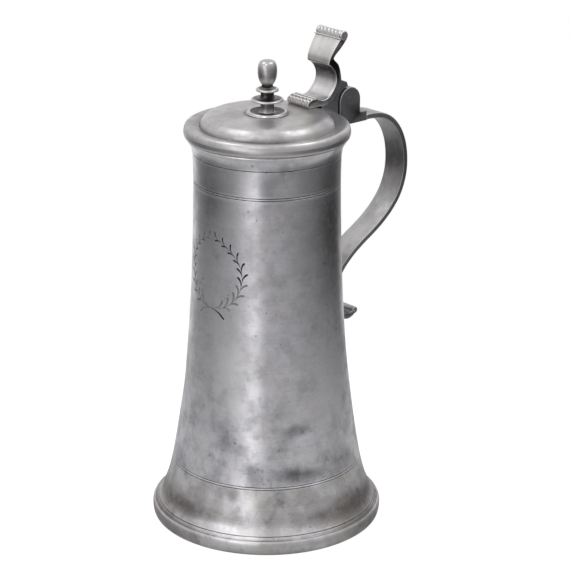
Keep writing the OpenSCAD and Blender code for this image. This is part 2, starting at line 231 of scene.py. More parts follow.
def strip(path, halves):
    """The outline of a strip that follows a path with half the given thickness on each side."""
    p = np.array(path, float)
    ahead = np.vstack([p[1:], p[-1:]]) - np.vstack([p[:1], p[:-1]])
    ahead /= np.linalg.norm(ahead, axis=1)[:, None]
    side = np.stack([-ahead[:, 1], ahead[:, 0]], 1) * np.array(halves)[:, None]
    return [tuple(q) for q in p + side] + [tuple(q) for q in (p - side)[::-1]]


def anticlockwise(points):
    """The outline's points in anticlockwise order, without repeats."""
    p = np.array(points, float)
    keep = np.linalg.norm(p - np.roll(p, 1, axis=0), axis=1) > SAME_POINT
    p = p[keep]
    q = np.roll(p, -1, axis=0)
    area = np.sum(p[:, 0] * q[:, 1] - q[:, 0] * p[:, 1])
    return p if area > 0 else p[::-1]


def dirt_and_painted_light_in(box, rows):
    """Places where dirt gathers or where shade and highlights are painted, from rows of two shares of a box,
    a reach in millimetres and an amount.
    """
    x0, z0, wide, tall = box
    return [(x0 + x * wide, z0 + z * tall, reach * MM, amount) for x, z, reach, amount in rows]


def dirt_and_painted_light_round(radius, rows):
    """Dirt, painted shade and painted highlights round a turned wall, from rows of a height, a reach in
    millimetres and an amount.
    """
    return [(radius(z), z, reach * MM, amount) for z, reach, amount in rows]


def wear_and_painted_light_of(outline, dirt):
    """How exposed each point of a closed outline is: 1 on a sharp edge, -1 in a sharp hollow.

    dirt lists places (x, z, reach, amount) where tarnish gathers as well, or where
    the metal is rubbed if the amount is below zero. Some of these places are
    painted shade, and some of the rubbed ones are painted highlights.
    """
    p = np.array(outline, float)
    back = p - np.roll(p, 1, axis=0)
    ahead = np.roll(p, -1, axis=0) - p
    cross = back[:, 0] * ahead[:, 1] - back[:, 1] * ahead[:, 0]
    turn = np.arctan2(cross, np.sum(back * ahead, axis=1))
    step = np.linalg.norm(ahead, axis=1)
    place = np.concatenate([[0], np.cumsum(step)[:-1]])
    apart = np.abs(place[:, None] - place[None, :])
    apart = np.minimum(apart, step.sum() - apart)
    wear = np.tanh(EDGE_GAIN * (np.exp(-(apart / EDGE_REACH) ** 2) @ turn))
    for x, z, reach, amount in dirt:
        wear -= amount * np.exp(-((p[:, 0] - x) ** 2 + (p[:, 1] - z) ** 2) / reach ** 2)
    return np.clip(wear, -1, 1)


# Meshes

# Faces that meet at more than this angle, in degrees, have a sharp edge between them
SHARP_ANGLE = 38
# Steps round a turned piece
TURNS = 256
FINIAL_TURNS = 96
SAUCER_TURNS = 128
DRUM_TURNS = 360
# Tarnish inside a hollow turned piece
INSIDE_DULL = 0.4
# Least share of an outline's turn that an inset point allows for
SHARPEST = 0.5
# Steps round the worn edge of a cast plate, and the wear that the edge gets
ROUND_STEPS = 4
EDGE_WORN = 0.45
# Rows of points across a dished plate, the share of its width that is dished, and
# how flat the dish's middle is
DISH_ROWS = 9
DISHED_SHARE = 0.9
DISH_POWER = 4


def set_wear_and_painted_light(mesh, values):
    """Writes the attribute that the finishes read, from 1 on a rubbed edge or a painted highlight to -1 in a
    dirty hollow or under painted shade.
    """
    attribute = mesh.attributes.new("wear", "FLOAT", "POINT")
    attribute.data.foreach_set("value", np.asarray(values, np.float32))


def point_outwards(mesh):
    bm = bmesh.new()
    bm.from_mesh(mesh)
    bmesh.ops.recalc_face_normals(bm, faces=bm.faces)
    bm.to_mesh(mesh)
    bm.free()


def soften(mesh):
    mesh.shade_smooth()
    mesh.set_sharp_from_angle(angle=math.radians(SHARP_ANGLE))


def object_of(name, mesh):
    made = bpy.data.objects.new(name, mesh)
    bpy.context.scene.collection.objects.link(made)
    return made


def finished(piece, material, body, slot, *nodes):
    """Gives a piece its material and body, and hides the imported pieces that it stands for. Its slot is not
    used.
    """
    if not piece.data.materials:
        piece.data.materials.append(material)
    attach(piece, body)
    if nodes:
        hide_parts(*nodes)


def dressed(node, material):
    """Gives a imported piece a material. It keeps its shape."""
    piece = frame["nodes"][node]
    piece.data.materials.clear()
    piece.data.materials.append(material)


def turned(name, outside, inside=(), dirt=(), turns=TURNS, bend=None):
    """A piece turned about the Z axis from a closed section of (radius, height) points."""
    outline = list(outside) + list(inside)
    section = anticlockwise(outline)
    flipped = not np.allclose(section[0], outline[0])
    wear = wear_and_painted_light_of(section, dirt)
    if inside:
        dull = np.array([0.0] * len(outside) + [INSIDE_DULL] * len(inside))[:len(section)]
        wear = np.clip(wear - (dull[::-1] if flipped else dull), -1, 1)
    angles = np.arange(turns) * 2 * math.pi / turns
    # worn holds each point's wear and dirt, with its painted shade and painted highlights
    co, worn, rings = [], [], []
    for (r, z), w in zip(section, wear):
        if r < ON_AXIS:
            rings.append([len(co)])
            co.append((0.0, 0.0, z))
            worn.append(w)
            continue
        rings.append(list(range(len(co), len(co) + turns)))
        co += [(r * c, r * s, z) for c, s in zip(np.cos(angles), np.sin(angles))]
        worn += [w] * turns
    if bend:
        co = bend(np.array(co))
    faces = []
    for a, b in zip(rings, rings[1:] + rings[:1]):
        for i in range(turns):
            j = (i + 1) % turns
            if len(a) > 1 and len(b) > 1:
                faces.append((a[i], a[j], b[j], b[i]))
            elif len(a) > 1:
                faces.append((a[i], a[j], b[0]))
            elif len(b) > 1:
                faces.append((a[0], b[j], b[i]))
    mesh = bpy.data.meshes.new(name)
    mesh.from_pydata([tuple(p) for p in co], [], faces)
    set_wear_and_painted_light(mesh, worn)
    soften(mesh)
    return object_of(name, mesh)


def inset(outline, amount):
    """Moves each point of an anticlockwise outline inwards, square to its two edges."""
    back = outline - np.roll(outline, 1, axis=0)
    ahead = np.roll(outline, -1, axis=0) - outline
    back /= np.linalg.norm(back, axis=1)[:, None]
    ahead /= np.linalg.norm(ahead, axis=1)[:, None]
    inward = np.stack([-(back[:, 1] + ahead[:, 1]), back[:, 0] + ahead[:, 0]], 1)
    size = np.linalg.norm(inward, axis=1)[:, None]
    half_turn = np.maximum(size / 2, SHARPEST)
    return outline + inward / np.maximum(size, ON_AXIS) * amount / half_turn


def slab(name, outline, half, edge, dirt=(), rounded=(True, True), dish=None, centre=0.0, sides=0.0):
    """A plate with the outline in X and Z, worn round at its side edges.

    half gives half the width at a height. dish gives, for each point of the
    outline, how deep its middle lies below its rims. sides is painted shade that
    darkens its two flat sides.
    """
    section = anticlockwise(outline)
    halves = np.array([half(z) for z in section[:, 1]])
    depth = np.array([dish(x, z) for x, z in section]) if dish else np.zeros(len(section))
    stations = []
    for side, is_round in ((-1, rounded[0]), (1, rounded[1])):
        rim = [(section, side * halves)]
        if is_round:
            rim = [(inset(section, edge * (1 - math.sin(a))), side * (halves - edge * (1 - math.cos(a))))
                   for a in levels(0, math.pi / 2, ROUND_STEPS)]
        stations.append(rim)
    middle = []
    if dish:
        for across in levels(-1, 1, DISH_ROWS + 1)[1:-1]:
            fall = 1 - abs(across) ** DISH_POWER
            y = across * DISHED_SHARE * (halves - edge)
            middle.append((inset(section, depth[:, None] * fall), y))
    order = stations[0] + middle + stations[1][::-1]
    count = len(section)
    wear = wear_and_painted_light_of(section, dirt)
    # worn holds each point's wear and dirt, with its painted shade and painted highlights
    co, worn = [], []
    for k, (points, y) in enumerate(order):
        co += [(x, centre + w, z) for (x, z), w in zip(points, y)]
        near_edge = k in (1, 2, len(order) - 2, len(order) - 3)
        flat_side = k in (0, len(order) - 1)
        # Near edges are rubbed brighter, and the flat sides take the painted shade
        change = EDGE_WORN * near_edge - sides * flat_side
        worn += list(np.clip(wear + change, -1, 1))
    faces = []
    for k in range(len(order) - 1):
        for i in range(count):
            j = (i + 1) % count
            a, b = k * count, (k + 1) * count
            faces.append((a + i, b + i, b + j, a + j))
    caps = [list(range(count)), list(range((len(order) - 1) * count, len(order) * count))]
    mesh = bpy.data.meshes.new(name)
    mesh.from_pydata([tuple(p) for p in co], [], faces + caps)
    set_wear_and_painted_light(mesh, worn)
    soften(mesh)
    bm = bmesh.new()
    bm.from_mesh(mesh)
    flats = [f for f in bm.faces if len(f.verts) > 4]
    for f in flats:
        f.smooth = False
    bmesh.ops.triangulate(bm, faces=flats)
    bmesh.ops.recalc_face_normals(bm, faces=bm.faces)
    bm.to_mesh(mesh)
    bm.free()
    return mesh


def joined(name, meshes):
    """One object of several closed meshes."""
    if len(meshes) == 1:
        return object_of(name, meshes[0])
    bm = bmesh.new()
    for mesh in meshes:
        bm.from_mesh(mesh)
    whole = bpy.data.meshes.new(name)
    bm.to_mesh(whole)
    bm.free()
    for mesh in meshes:
        for material in mesh.materials:
            if material and material.name not in whole.materials:
                whole.materials.append(material)
        bpy.data.meshes.remove(mesh)
    return object_of(name, whole)


# Nodes

def add(tree, kind, inputs=None, **settings):
    """Adds a node with its settings, and fills or links its inputs."""
    made = tree.nodes.new(kind)
    for key, value in settings.items():
        setattr(made, key, value)
    for key, value in (inputs or {}).items():
        if isinstance(value, bpy.types.NodeSocket):
            tree.links.new(value, made.inputs[key])
        else:
            made.inputs[key].default_value = value
    return made


def maths(tree, operation, *values, clamp=False):
    made = add(tree, "ShaderNodeMath", dict(enumerate(values)), operation=operation, use_clamp=clamp)
    return made.outputs[0]


def vector(tree, x, y, z):
    return add(tree, "ShaderNodeCombineXYZ", {"X": x, "Y": y, "Z": z}).outputs[0]


def mixed(tree, share, first, second, blend="MIX"):
    made = add(tree, "ShaderNodeMix", {0: share, 6: first, 7: second},
               data_type="RGBA", blend_type=blend)
    return made.outputs[2]


def ranged(tree, value, low_end, high_end, start=0.0, end=1.0, kind="SMOOTHSTEP"):
    """Maps a value between two ends on to two others, softly unless told otherwise."""
    made = add(tree, "ShaderNodeMapRange",
               {"Value": value, "From Min": low_end, "From Max": high_end, "To Min": start, "To Max": end},
               interpolation_type=kind)
    return made.outputs["Result"]


def noise(tree, place, scale, detail, rough, output="Fac"):
    made = add(tree, "ShaderNodeTexNoise",
               {"Vector": place, "Scale": scale, "Detail": detail, "Roughness": rough})
    return made.outputs[output]


def patches(tree, place, scale, detail, rough, start, full):
    """Soft patches of noise, from the value where a patch starts to the one where it is full."""
    return ranged(tree, noise(tree, place, scale, detail, rough), start, full)


def stretched(tree, place, scale, turn=(0.0, 0.0, 0.0)):
    made = add(tree, "ShaderNodeMapping", {"Vector": place, "Scale": scale, "Rotation": turn})
    return made.outputs["Vector"]


PEWTER_INPUTS = (
    ("Vector", "NodeSocketVector", None),
    ("Wear", "NodeSocketFloat", 0.0),
    ("Metal", "NodeSocketColor", (0.56, 0.56, 0.57, 1)),
    ("Patina", "NodeSocketColor", (0.2, 0.2, 0.2, 1)),
    ("Warmth", "NodeSocketColor", (0.5, 0.46, 0.4, 1)),
    ("Dirt", "NodeSocketColor", (0.03, 0.03, 0.03, 1)),
    ("Polish", "NodeSocketFloat", 0.35),
    ("Clouds", "NodeSocketFloat", 0.5),
    ("Warm Share", "NodeSocketFloat", 0.3),
    ("Pits", "NodeSocketFloat", 0.5),
    ("Scratches", "NodeSocketFloat", 0.5),
    ("Grain", "NodeSocketVector", (30, 30, 2600)),
    ("Grain Share", "NodeSocketFloat", 0.0),
    ("Edges", "NodeSocketFloat", 0.5),
    ("Swell", "NodeSocketFloat", 0.7),
)
PEWTER_OUTPUTS = (
    ("Colour", "NodeSocketColor"),
    ("Roughness", "NodeSocketFloat"),
    ("Height", "NodeSocketFloat"),
)
# Patches are given by their noise's scale, detail and roughness, and where they
# start and are full. These are the tarnish's clouds, each with its share.
CLOUD_LAYERS = (
    ((32, 3, 0.5, 0.38, 0.64), 0.34), ((82, 4, 0.58, 0.38, 0.66), 0.5), ((230, 4, 0.62, 0.38, 0.7), 0.2),
    ((66, 3, 0.6, 0.6, 0.72), 0.44), ((520, 3, 0.6, 0.57, 0.7), 0.2),
)
MOTTLE_LAYER = 2
WARM_PATCHES = (48, 3, 0.55, 0.44, 0.66)
SCRATCHED_PATCHES = (75, 2, 0.5, 0.46, 0.66)
SCRATCH_LINES = (1, 1, 0.5, 0.66, 0.74)
GRAIN_LINES = (1, 2, 0.6, 0.4, 0.7)
# The scale, detail and roughness of plain noise
SWELL_NOISE = (58, 1, 0.5)
FINE_NOISE = (800, 2, 0.6)
SHAKE_NOISE = (900, 2, 0.6)
# Heights between which the clouds thin out, and their shares there
CLOUD_HEIGHTS = (0.06, 0.24, 1.05, 0.75)
# Pits, large and small: how many to a metre, where a pit's slope starts and ends, and
# the value of a broader noise past which there are pits
PIT_LAYERS = ((95, 0.04, 0.14, 0.58), (260, 0.08, 0.2, 0.6))
PIT_GROUPS = 0.4
PIT_GATE = 0.03
PIT_SHAKE = 1.3 * MM
PIT_SHARE = 0.8
# Three ways that fine scratches run: how they are turned and stretched
SCRATCH_WAYS = (
    ((0.3, 0.2, 0.5), (1300, 45, 45)), ((1.1, 0.4, 0.1), (45, 45, 1200)), ((0.2, 0.9, 1.3), (40, 1100, 40)),
)
SCRATCH_SHARE = 0.35
# Dirt and painted shade for each unit of wear, which is below zero in a hollow or a
# painted-shade spot, where the mottle is least and where it is most
HOLLOW_AND_SHADE_RANGE = (0.0, 1.0, -1.05, -0.8)
# Rubbed metal, which also paints the highlights where the wear is above zero
RUBBED_METAL_AND_HIGHLIGHT = (0.9, 0.89, 0.87, 1)
# What clouds, hollows, edges and scratches add to the roughness
ROUGHENING = (0.14, 0.06, -0.06, 0.08)
# How far fine grain, pits, scratches and mottle rise, in bump heights
RELIEF = (0.1, -1.2, -0.3, -0.12)
BUMP_HEIGHT = 0.1 * MM
# A quarter turn, which stretches the gloss across the lathe's marks
ACROSS_MARKS = 0.25
# How the grain is stretched on turned pieces, and on those filed and rubbed along their length
ROUND = (30, 30, 2600)
ALONG = (30, 2000, 30)


def pewter_group():
    """Old pewter: clouded and warm tarnish, pits, scratches, bright worn edges and dark hollows, which also
    carry painted highlights and painted shade.
    """
    name = "Pewter surface"
    if name in bpy.data.node_groups:
        return bpy.data.node_groups[name]
    tree = bpy.data.node_groups.new(name, "ShaderNodeTree")
    for label, kind, value in PEWTER_INPUTS:
        socket = tree.interface.new_socket(name=label, in_out="INPUT", socket_type=kind)
        if value is not None:
            socket.default_value = value
    for label, kind in PEWTER_OUTPUTS:
        tree.interface.new_socket(name=label, in_out="OUTPUT", socket_type=kind)
    given = add(tree, "NodeGroupInput").outputs
    place = given["Vector"]

    def share(value, amount):
        return maths(tree, "MULTIPLY", value, amount, clamp=True)

    def stacked(layers, whole=0.0, clamp=False):
        for layer, amount in layers:
            whole = maths(tree, "MULTIPLY_ADD", layer, amount, whole, clamp=clamp)
        return whole

    clouds = [(patches(tree, place, *values), amount) for values, amount in CLOUD_LAYERS]
    mottle = clouds[MOTTLE_LAYER][0]
    cloud = stacked(clouds)
    height_in = add(tree, "ShaderNodeSeparateXYZ", {0: place}).outputs["Z"]
    cloud = maths(tree, "MULTIPLY", cloud, ranged(tree, height_in, *CLOUD_HEIGHTS))
    base = mixed(tree, share(cloud, given["Clouds"]), given["Metal"], given["Patina"])
    warm = patches(tree, place, *WARM_PATCHES)
    base = mixed(tree, share(warm, given["Warm Share"]), base, given["Warmth"])

    shake = stretched(tree, noise(tree, place, *SHAKE_NOISE, "Color"), (PIT_SHAKE,) * 3)
    shaken = add(tree, "ShaderNodeVectorMath", {0: place, 1: shake}).outputs[0]
    pit = 0.0
    for scale, inner, outer, gate in PIT_LAYERS:
        cells = add(tree, "ShaderNodeTexVoronoi", {"Vector": shaken, "Scale": scale}).outputs["Distance"]
        few = patches(tree, place, scale * PIT_GROUPS, 1, 0.5, gate, gate + PIT_GATE)
        dot = maths(tree, "MULTIPLY", ranged(tree, cells, inner, outer, 1.0, 0.0), few)
        pit = maths(tree, "MAXIMUM", dot, pit)
    pit = maths(tree, "MULTIPLY", pit, given["Pits"])
    base = mixed(tree, share(pit, PIT_SHARE), base, given["Dirt"])

    lines = 0.0
    for turn, scale in SCRATCH_WAYS:
        line = patches(tree, stretched(tree, place, scale, turn), *SCRATCH_LINES)
        lines = maths(tree, "MAXIMUM", line, lines)
    some = patches(tree, place, *SCRATCHED_PATCHES)
    scratch = maths(tree, "MULTIPLY", maths(tree, "MULTIPLY", lines, some), given["Scratches"])
    base = mixed(tree, share(scratch, SCRATCH_SHARE), base, given["Patina"])
    brushed = patches(tree, stretched(tree, place, given["Grain"]), *GRAIN_LINES)
    base = mixed(tree, share(brushed, given["Grain Share"]), base, given["Patina"])

    # Below zero the wear mixes towards the dirt colour, for dirty hollows and painted shade; above zero
    # towards rubbed metal, for rubbed edges and painted highlights
    hollow = share(given["Wear"], ranged(tree, mottle, *HOLLOW_AND_SHADE_RANGE))
    edge = share(given["Wear"], given["Edges"])
    base = mixed(tree, hollow, base, given["Dirt"])
    base = mixed(tree, edge, base, mixed(tree, 0.5, given["Metal"], RUBBED_METAL_AND_HIGHLIGHT))

    rough = stacked(zip((cloud, hollow, edge, scratch), ROUGHENING), given["Polish"], clamp=True)
    swell = noise(tree, place, *SWELL_NOISE)
    fine = noise(tree, place, *FINE_NOISE)
    height = stacked(zip((fine, pit, scratch, mottle), RELIEF))
    height = maths(tree, "MULTIPLY_ADD", swell, given["Swell"], height)
    add(tree, "NodeGroupOutput", {"Colour": base, "Roughness": rough, "Height": height})
    return tree


def pewter(name, metal, polish, clouds, warm, pits, scratches, turned_marks=0.0, edges=0.5, soil_and_painted_shade=None,
           grain=ROUND, grain_share=0.14, swell=0.7):
    """A pewter finish. turned_marks stretches its gloss across the marks of the lathe."""
    if name in bpy.data.materials:
        return bpy.data.materials[name]
    palette = colours()
    made = bpy.data.materials.new(name)
    made.use_nodes = True
    tree = made.node_tree
    shader = tree.nodes["Principled BSDF"]
    where = add(tree, "ShaderNodeTexCoord").outputs["Object"]
    wear = add(tree, "ShaderNodeAttribute", attribute_name="wear").outputs["Fac"]
    surface = add(tree, "ShaderNodeGroup", node_tree=pewter_group())
    tones = {"Metal": metal, "Patina": palette.patina, "Warmth": palette.warmth, "Dirt": soil_and_painted_shade or palette.dirt}
    for key, tone in tones.items():
        surface.inputs[key].default_value = (*tone, 1)
    for key, value in {"Polish": polish, "Clouds": clouds, "Warm Share": warm, "Pits": pits,
                       "Scratches": scratches, "Grain": grain, "Grain Share": grain_share,
                       "Edges": edges, "Swell": swell}.items():
        surface.inputs[key].default_value = value
    tree.links.new(where, surface.inputs["Vector"])
    tree.links.new(wear, surface.inputs["Wear"])
    bump = add(tree, "ShaderNodeBump", {"Strength": 1.0, "Distance": BUMP_HEIGHT,
                                        "Height": surface.outputs["Height"]})
    tree.links.new(surface.outputs["Colour"], shader.inputs["Base Color"])
    tree.links.new(surface.outputs["Roughness"], shader.inputs["Roughness"])
    tree.links.new(bump.outputs["Normal"], shader.inputs["Normal"])
    shader.inputs["Metallic"].default_value = 1.0
    if turned_marks:
        round_z = add(tree, "ShaderNodeTangent", direction_type="RADIAL", axis="Z")
        tree.links.new(round_z.outputs["Tangent"], shader.inputs["Tangent"])
        shader.inputs["Anisotropic"].default_value = turned_marks
        shader.inputs["Anisotropic Rotation"].default_value = ACROSS_MARKS
    return made


def drum_pewter():
    return pewter("aged_drum", colours().drum, polish=0.32, clouds=0.75, warm=0.15, pits=0.6, scratches=0.6,
                  turned_marks=0.6)


def foot_pewter():
    return pewter("aged_foot", colours().foot, polish=0.32, clouds=0.7, warm=0.5, pits=0.6, scratches=0.5,
                  turned_marks=0.5, soil_and_painted_shade=colours().soil_and_painted_shade)


def lid_pewter():
    return pewter("aged_lid", colours().lid, polish=0.35, clouds=0.75, warm=0.55, pits=0.25, scratches=0.3,
                  turned_marks=0.35, soil_and_painted_shade=colours().soil_and_painted_shade, swell=0.3)


def finial_pewter():
    return pewter("aged_finial", colours().finial, polish=0.3, clouds=0.45, warm=0.4, pits=0.15,
                  scratches=0.2, turned_marks=0.3, edges=0.8, swell=0.1)


def handle_pewter():
    return pewter("aged_handle", colours().handle, polish=0.34, clouds=0.85, warm=0.45, pits=0.5,
                  scratches=1.0, edges=1.3, grain=ALONG, grain_share=0.45, swell=0.3)


def hinge_pewter():
    return pewter("aged_hinge", colours().hinge, polish=0.36, clouds=0.4, warm=0.15, pits=0.3, scratches=0.4,
                  edges=0.15, grain_share=0.0)


def thumb_pewter():
    return pewter("aged_thumb", colours().thumb, polish=0.33, clouds=0.4, warm=0.5, pits=0.15, scratches=0.7,
                  grain=ALONG, grain_share=0.3, swell=0.1)


def engraved_pewter():
    return pewter("aged_engraved", colours().engraving, polish=0.6, clouds=0.3, warm=0.1, pits=0.0,
                  scratches=0.0)


# Geometry node trees

# Points round the section of a stroke and of a ridge, along a leaf's vein and along a ridge
STROKE_SIDES = 8
RIDGE_SIDES = 10
VEIN_POINTS = 9
RIDGE_POINTS = 32
# Across and up, in leaf lengths, where a leaf ends and what its vein bends towards
LEAF_END_SHARES = (0.84, 0.5)
LEAF_BEND_SHARES = (0.62, 0.03)
# How a leaf widens from its root and narrows at its tip, and how a stem thins out:
# along from one share to another, its width goes from one share to another
LEAF_WIDENS = (0.0, 0.75, 0.2, 1.0)
LEAF_NARROWS = (0.9, 1.0, 1.0, 0.5)
STEM_THINS = (0.03, 0.17, 1.0, 0.25)
# Angles of a sine between which a ridge swells, and its fullness
RIDGE_SWELL = (0.12, 3.02)
RIDGE_FULLNESS = 0.6
BEAD_SEGMENTS = 12
BEAD_RINGS = 8


def branch(name, inputs):
    """A geometry tree with its named inputs and one geometry output."""
    tree = bpy.data.node_groups.new(name, "GeometryNodeTree")
    face = tree.interface
    face.new_socket(name="Geometry", in_out="INPUT", socket_type="NodeSocketGeometry")
    for label, kind in inputs.items():
        face.new_socket(name=label, in_out="INPUT", socket_type="NodeSocket" + kind)
    face.new_socket(name="Geometry", in_out="OUTPUT", socket_type="NodeSocketGeometry")
    return tree, add(tree, "NodeGroupInput").outputs


def ended(tree, geometry, material):
    """Makes the tree's instances real, gives them their material and puts them out."""
    whole = add(tree, "GeometryNodeRealizeInstances", {"Geometry": geometry}).outputs[0]
    coloured = add(tree, "GeometryNodeSetMaterial", {"Geometry": whole, "Material": material}).outputs[0]
    add(tree, "NodeGroupOutput", {"Geometry": coloured})


def grown(name, tree, values, source=None):
    """Runs a geometry tree with the values given for its named inputs, and returns a plain mesh."""
    start = source or bpy.data.meshes.new(name)
    holder = object_of(name, start)
    modifier = holder.modifiers.new("grow", "NODES")
    modifier.node_group = tree
    for item in tree.interface.items_tree:
        if item.in_out == "INPUT" and item.name in values:
            modifier[item.identifier] = values[item.name]
    bpy.context.view_layer.update()
    evaluated = holder.evaluated_get(bpy.context.evaluated_depsgraph_get())
    mesh = bpy.data.meshes.new_from_object(evaluated)
    bpy.data.objects.remove(holder)
    point_outwards(mesh)
    return mesh


def row_places(tree, given):
    """Count points from Start to End."""
    return add(tree, "GeometryNodeMeshLine",
               {"Count": given["Count"], "Start Location": given["Start"], "Offset": given["End"]},
               mode="END_POINTS").outputs[0]


def alternate(tree, index):
    """1 for even places in a row and -1 for odd ones."""
    return maths(tree, "MULTIPLY_ADD", maths(tree, "MODULO", index, 2.0), -2.0, 1.0)


def swept(tree, curve, sides, radius):
    """A closed round stroke along a curve, with its radius at each point."""
    section = add(tree, "GeometryNodeCurvePrimitiveCircle", {"Resolution": sides, "Radius": 1.0}).outputs[0]
    return add(tree, "GeometryNodeCurveToMesh",
               {"Curve": curve, "Profile Curve": section, "Scale": radius, "Fill Caps": True}).outputs[0]


def half_of(tree, width, share):
    return maths(tree, "MULTIPLY", maths(tree, "MULTIPLY", width, 0.5), share)


def leaf_branch_tree():
    """Leaves and stem of one wreath branch, flat in X and Y, to cut the drum with."""
    tree, given = branch("Leaf branch", {
        "Leaves": "Int", "Leaf Length": "Float", "Leaf Width": "Float", "Stem Width": "Float",
        "First Leaf": "Float", "Tip Share": "Float", "First Splay": "Float", "Last Splay": "Float",
        "Depth Share": "Float", "Material": "Material"})
    stem = add(tree, "GeometryNodeMeshToCurve", {"Mesh": given["Geometry"]}).outputs[0]
    leafy = add(tree, "GeometryNodeTrimCurve", {"Curve": stem, "Start": given["First Leaf"]}).outputs[0]
    roots = add(tree, "GeometryNodeCurveToPoints", {"Curve": leafy, "Count": given["Leaves"]}, mode="COUNT")

    def from_root(shares):
        across, up = (maths(tree, "MULTIPLY", given["Leaf Length"], share) for share in shares)
        return vector(tree, across, up, 0.0)

    vein = add(tree, "GeometryNodeCurveQuadraticBezier",
               {"Resolution": VEIN_POINTS, "Start": (0, 0, 0), "Middle": from_root(LEAF_BEND_SHARES),
                "End": from_root(LEAF_END_SHARES)}).outputs[0]
    along = add(tree, "GeometryNodeSplineParameter").outputs["Factor"]
    swell = maths(tree, "MULTIPLY", ranged(tree, along, *LEAF_WIDENS, "LINEAR"),
                  ranged(tree, along, *LEAF_NARROWS, "LINEAR"))
    leaf = swept(tree, vein, STROKE_SIDES, half_of(tree, given["Leaf Width"], swell))

    index = add(tree, "GeometryNodeInputIndex").outputs[0]
    side = alternate(tree, index)
    tangent = add(tree, "ShaderNodeSeparateXYZ", {0: roots.outputs["Tangent"]}).outputs
    heading = maths(tree, "ARCTAN2", tangent["Y"], tangent["X"])
    onward = maths(tree, "DIVIDE", index, given["Leaves"])
    size = maths(tree, "MULTIPLY_ADD", onward, maths(tree, "SUBTRACT", given["Tip Share"], 1.0), 1.0)
    scale = vector(tree, size, maths(tree, "MULTIPLY", size, side), 1.0)
    splay = add(tree, "ShaderNodeMix",
                {0: onward, 2: given["First Splay"], 3: given["Last Splay"]}).outputs[0]
    heading = maths(tree, "ADD", heading, splay)
    leaves = add(tree, "GeometryNodeInstanceOnPoints",
                 {"Points": roots.outputs["Points"], "Instance": leaf,
                  "Rotation": vector(tree, 0.0, 0.0, heading), "Scale": scale}).outputs[0]

    thick = ranged(tree, along, *STEM_THINS)
    stalk = swept(tree, stem, STROKE_SIDES, half_of(tree, given["Stem Width"], thick))
    both = add(tree, "GeometryNodeJoinGeometry")
    tree.links.new(leaves, both.inputs[0])
    tree.links.new(stalk, both.inputs[0])
    flat = add(tree, "GeometryNodeRealizeInstances", {"Geometry": both.outputs[0]}).outputs[0]
    squashed = add(tree, "GeometryNodeTransform",
                   {"Geometry": flat, "Scale": vector(tree, 1.0, 1.0, given["Depth Share"])}).outputs[0]
    ended(tree, squashed, given["Material"])
    return tree


def gadroon_tree():
    """Slanted ridges that curve round a roll, side by side along it."""
    tree, given = branch("Gadroons", {
        "Count": "Int", "Start": "Vector", "End": "Vector", "Roll Radius": "Float", "First Angle": "Float",
        "Turns": "Float", "Slant": "Float", "Ridge Width": "Float", "Material": "Material"})
    coil = add(tree, "GeometryNodeCurveSpiral",
               {"Resolution": RIDGE_POINTS, "Rotations": given["Turns"], "Start Radius": given["Roll Radius"],
                "End Radius": given["Roll Radius"], "Height": given["Slant"]}).outputs[0]
    along = add(tree, "GeometryNodeSplineParameter").outputs["Factor"]
    wave = maths(tree, "SINE", ranged(tree, along, 0.0, 1.0, *RIDGE_SWELL, "LINEAR"))
    swell = maths(tree, "POWER", wave, RIDGE_FULLNESS)
    ridge = swept(tree, coil, RIDGE_SIDES, half_of(tree, given["Ridge Width"], swell))
    ridge = add(tree, "GeometryNodeTransform",
                {"Geometry": ridge, "Rotation": vector(tree, 0.0, 0.0, given["First Angle"])}).outputs[0]
    ridges = add(tree, "GeometryNodeInstanceOnPoints",
                 {"Points": row_places(tree, given), "Instance": ridge,
                  "Rotation": vector(tree, math.pi / 2, 0.0, 0.0)}).outputs[0]
    ended(tree, ridges, given["Material"])
    return tree


def bead_row_tree():
    """Beads in a row, upright or leaning to one side and the other in turn."""
    tree, given = branch("Bead row", {
        "Count": "Int", "Start": "Vector", "End": "Vector", "Bead Size": "Vector", "Tilt": "Float",
        "Zigzag": "Float", "Material": "Material"})
    bead = add(tree, "GeometryNodeMeshUVSphere",
               {"Segments": BEAD_SEGMENTS, "Rings": BEAD_RINGS, "Radius": 1.0}).outputs[0]
    index = add(tree, "GeometryNodeInputIndex").outputs[0]
    side = alternate(tree, index)
    lean = maths(tree, "MULTIPLY", side, given["Zigzag"])
    row = add(tree, "GeometryNodeInstanceOnPoints",
              {"Points": row_places(tree, given), "Instance": bead,
               "Rotation": vector(tree, 0.0, given["Tilt"], lean), "Scale": given["Bead Size"]}).outputs[0]
    ended(tree, row, given["Material"])
    return tree


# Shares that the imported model's sections are drawn with

TAPER_SHARE = 0.18
FLARE_POWER = 2.6
FOOT_TAPER_SHARE = 0.6
FOOT_POWER = 3
COLLAR_SWELL = 0.4 * MM
COLLAR_STEP = 0.3 * MM
BAND_STEP = 2.9 * MM
BAND_SWELL = 2.3 * MM
BAND_WIDE = 9 * MM

# Steps across an incised line, in half widths, with their shares of its depth
LINE_STEPS = ((-1.5, 0), (-1, 0), (-0.35, 0.8), (0, 1), (0.35, 0.8), (1, 0), (1.5, 0))
# No other ring lies within this many half widths of a line
LINE_CLEAR = 1.6
# Height over which the dents fade out at the drum's ends
DENT_FADE = 6 * MM


def drum_radius(z):
    size = sizes()
    waist_z = MOUTH_Z - size.waist_drop
    if z > waist_z:
        return size.waist_r + COLLAR_SWELL * ((z - waist_z) / (COLLAR_Z - waist_z)) ** 2
    t = (waist_z - z) / (waist_z - JOINT_Z)
    spread = TAPER_SHARE * t + (1 - TAPER_SHARE) * t ** FLARE_POWER
    return size.waist_r + (JOINT_R - size.waist_r) * spread


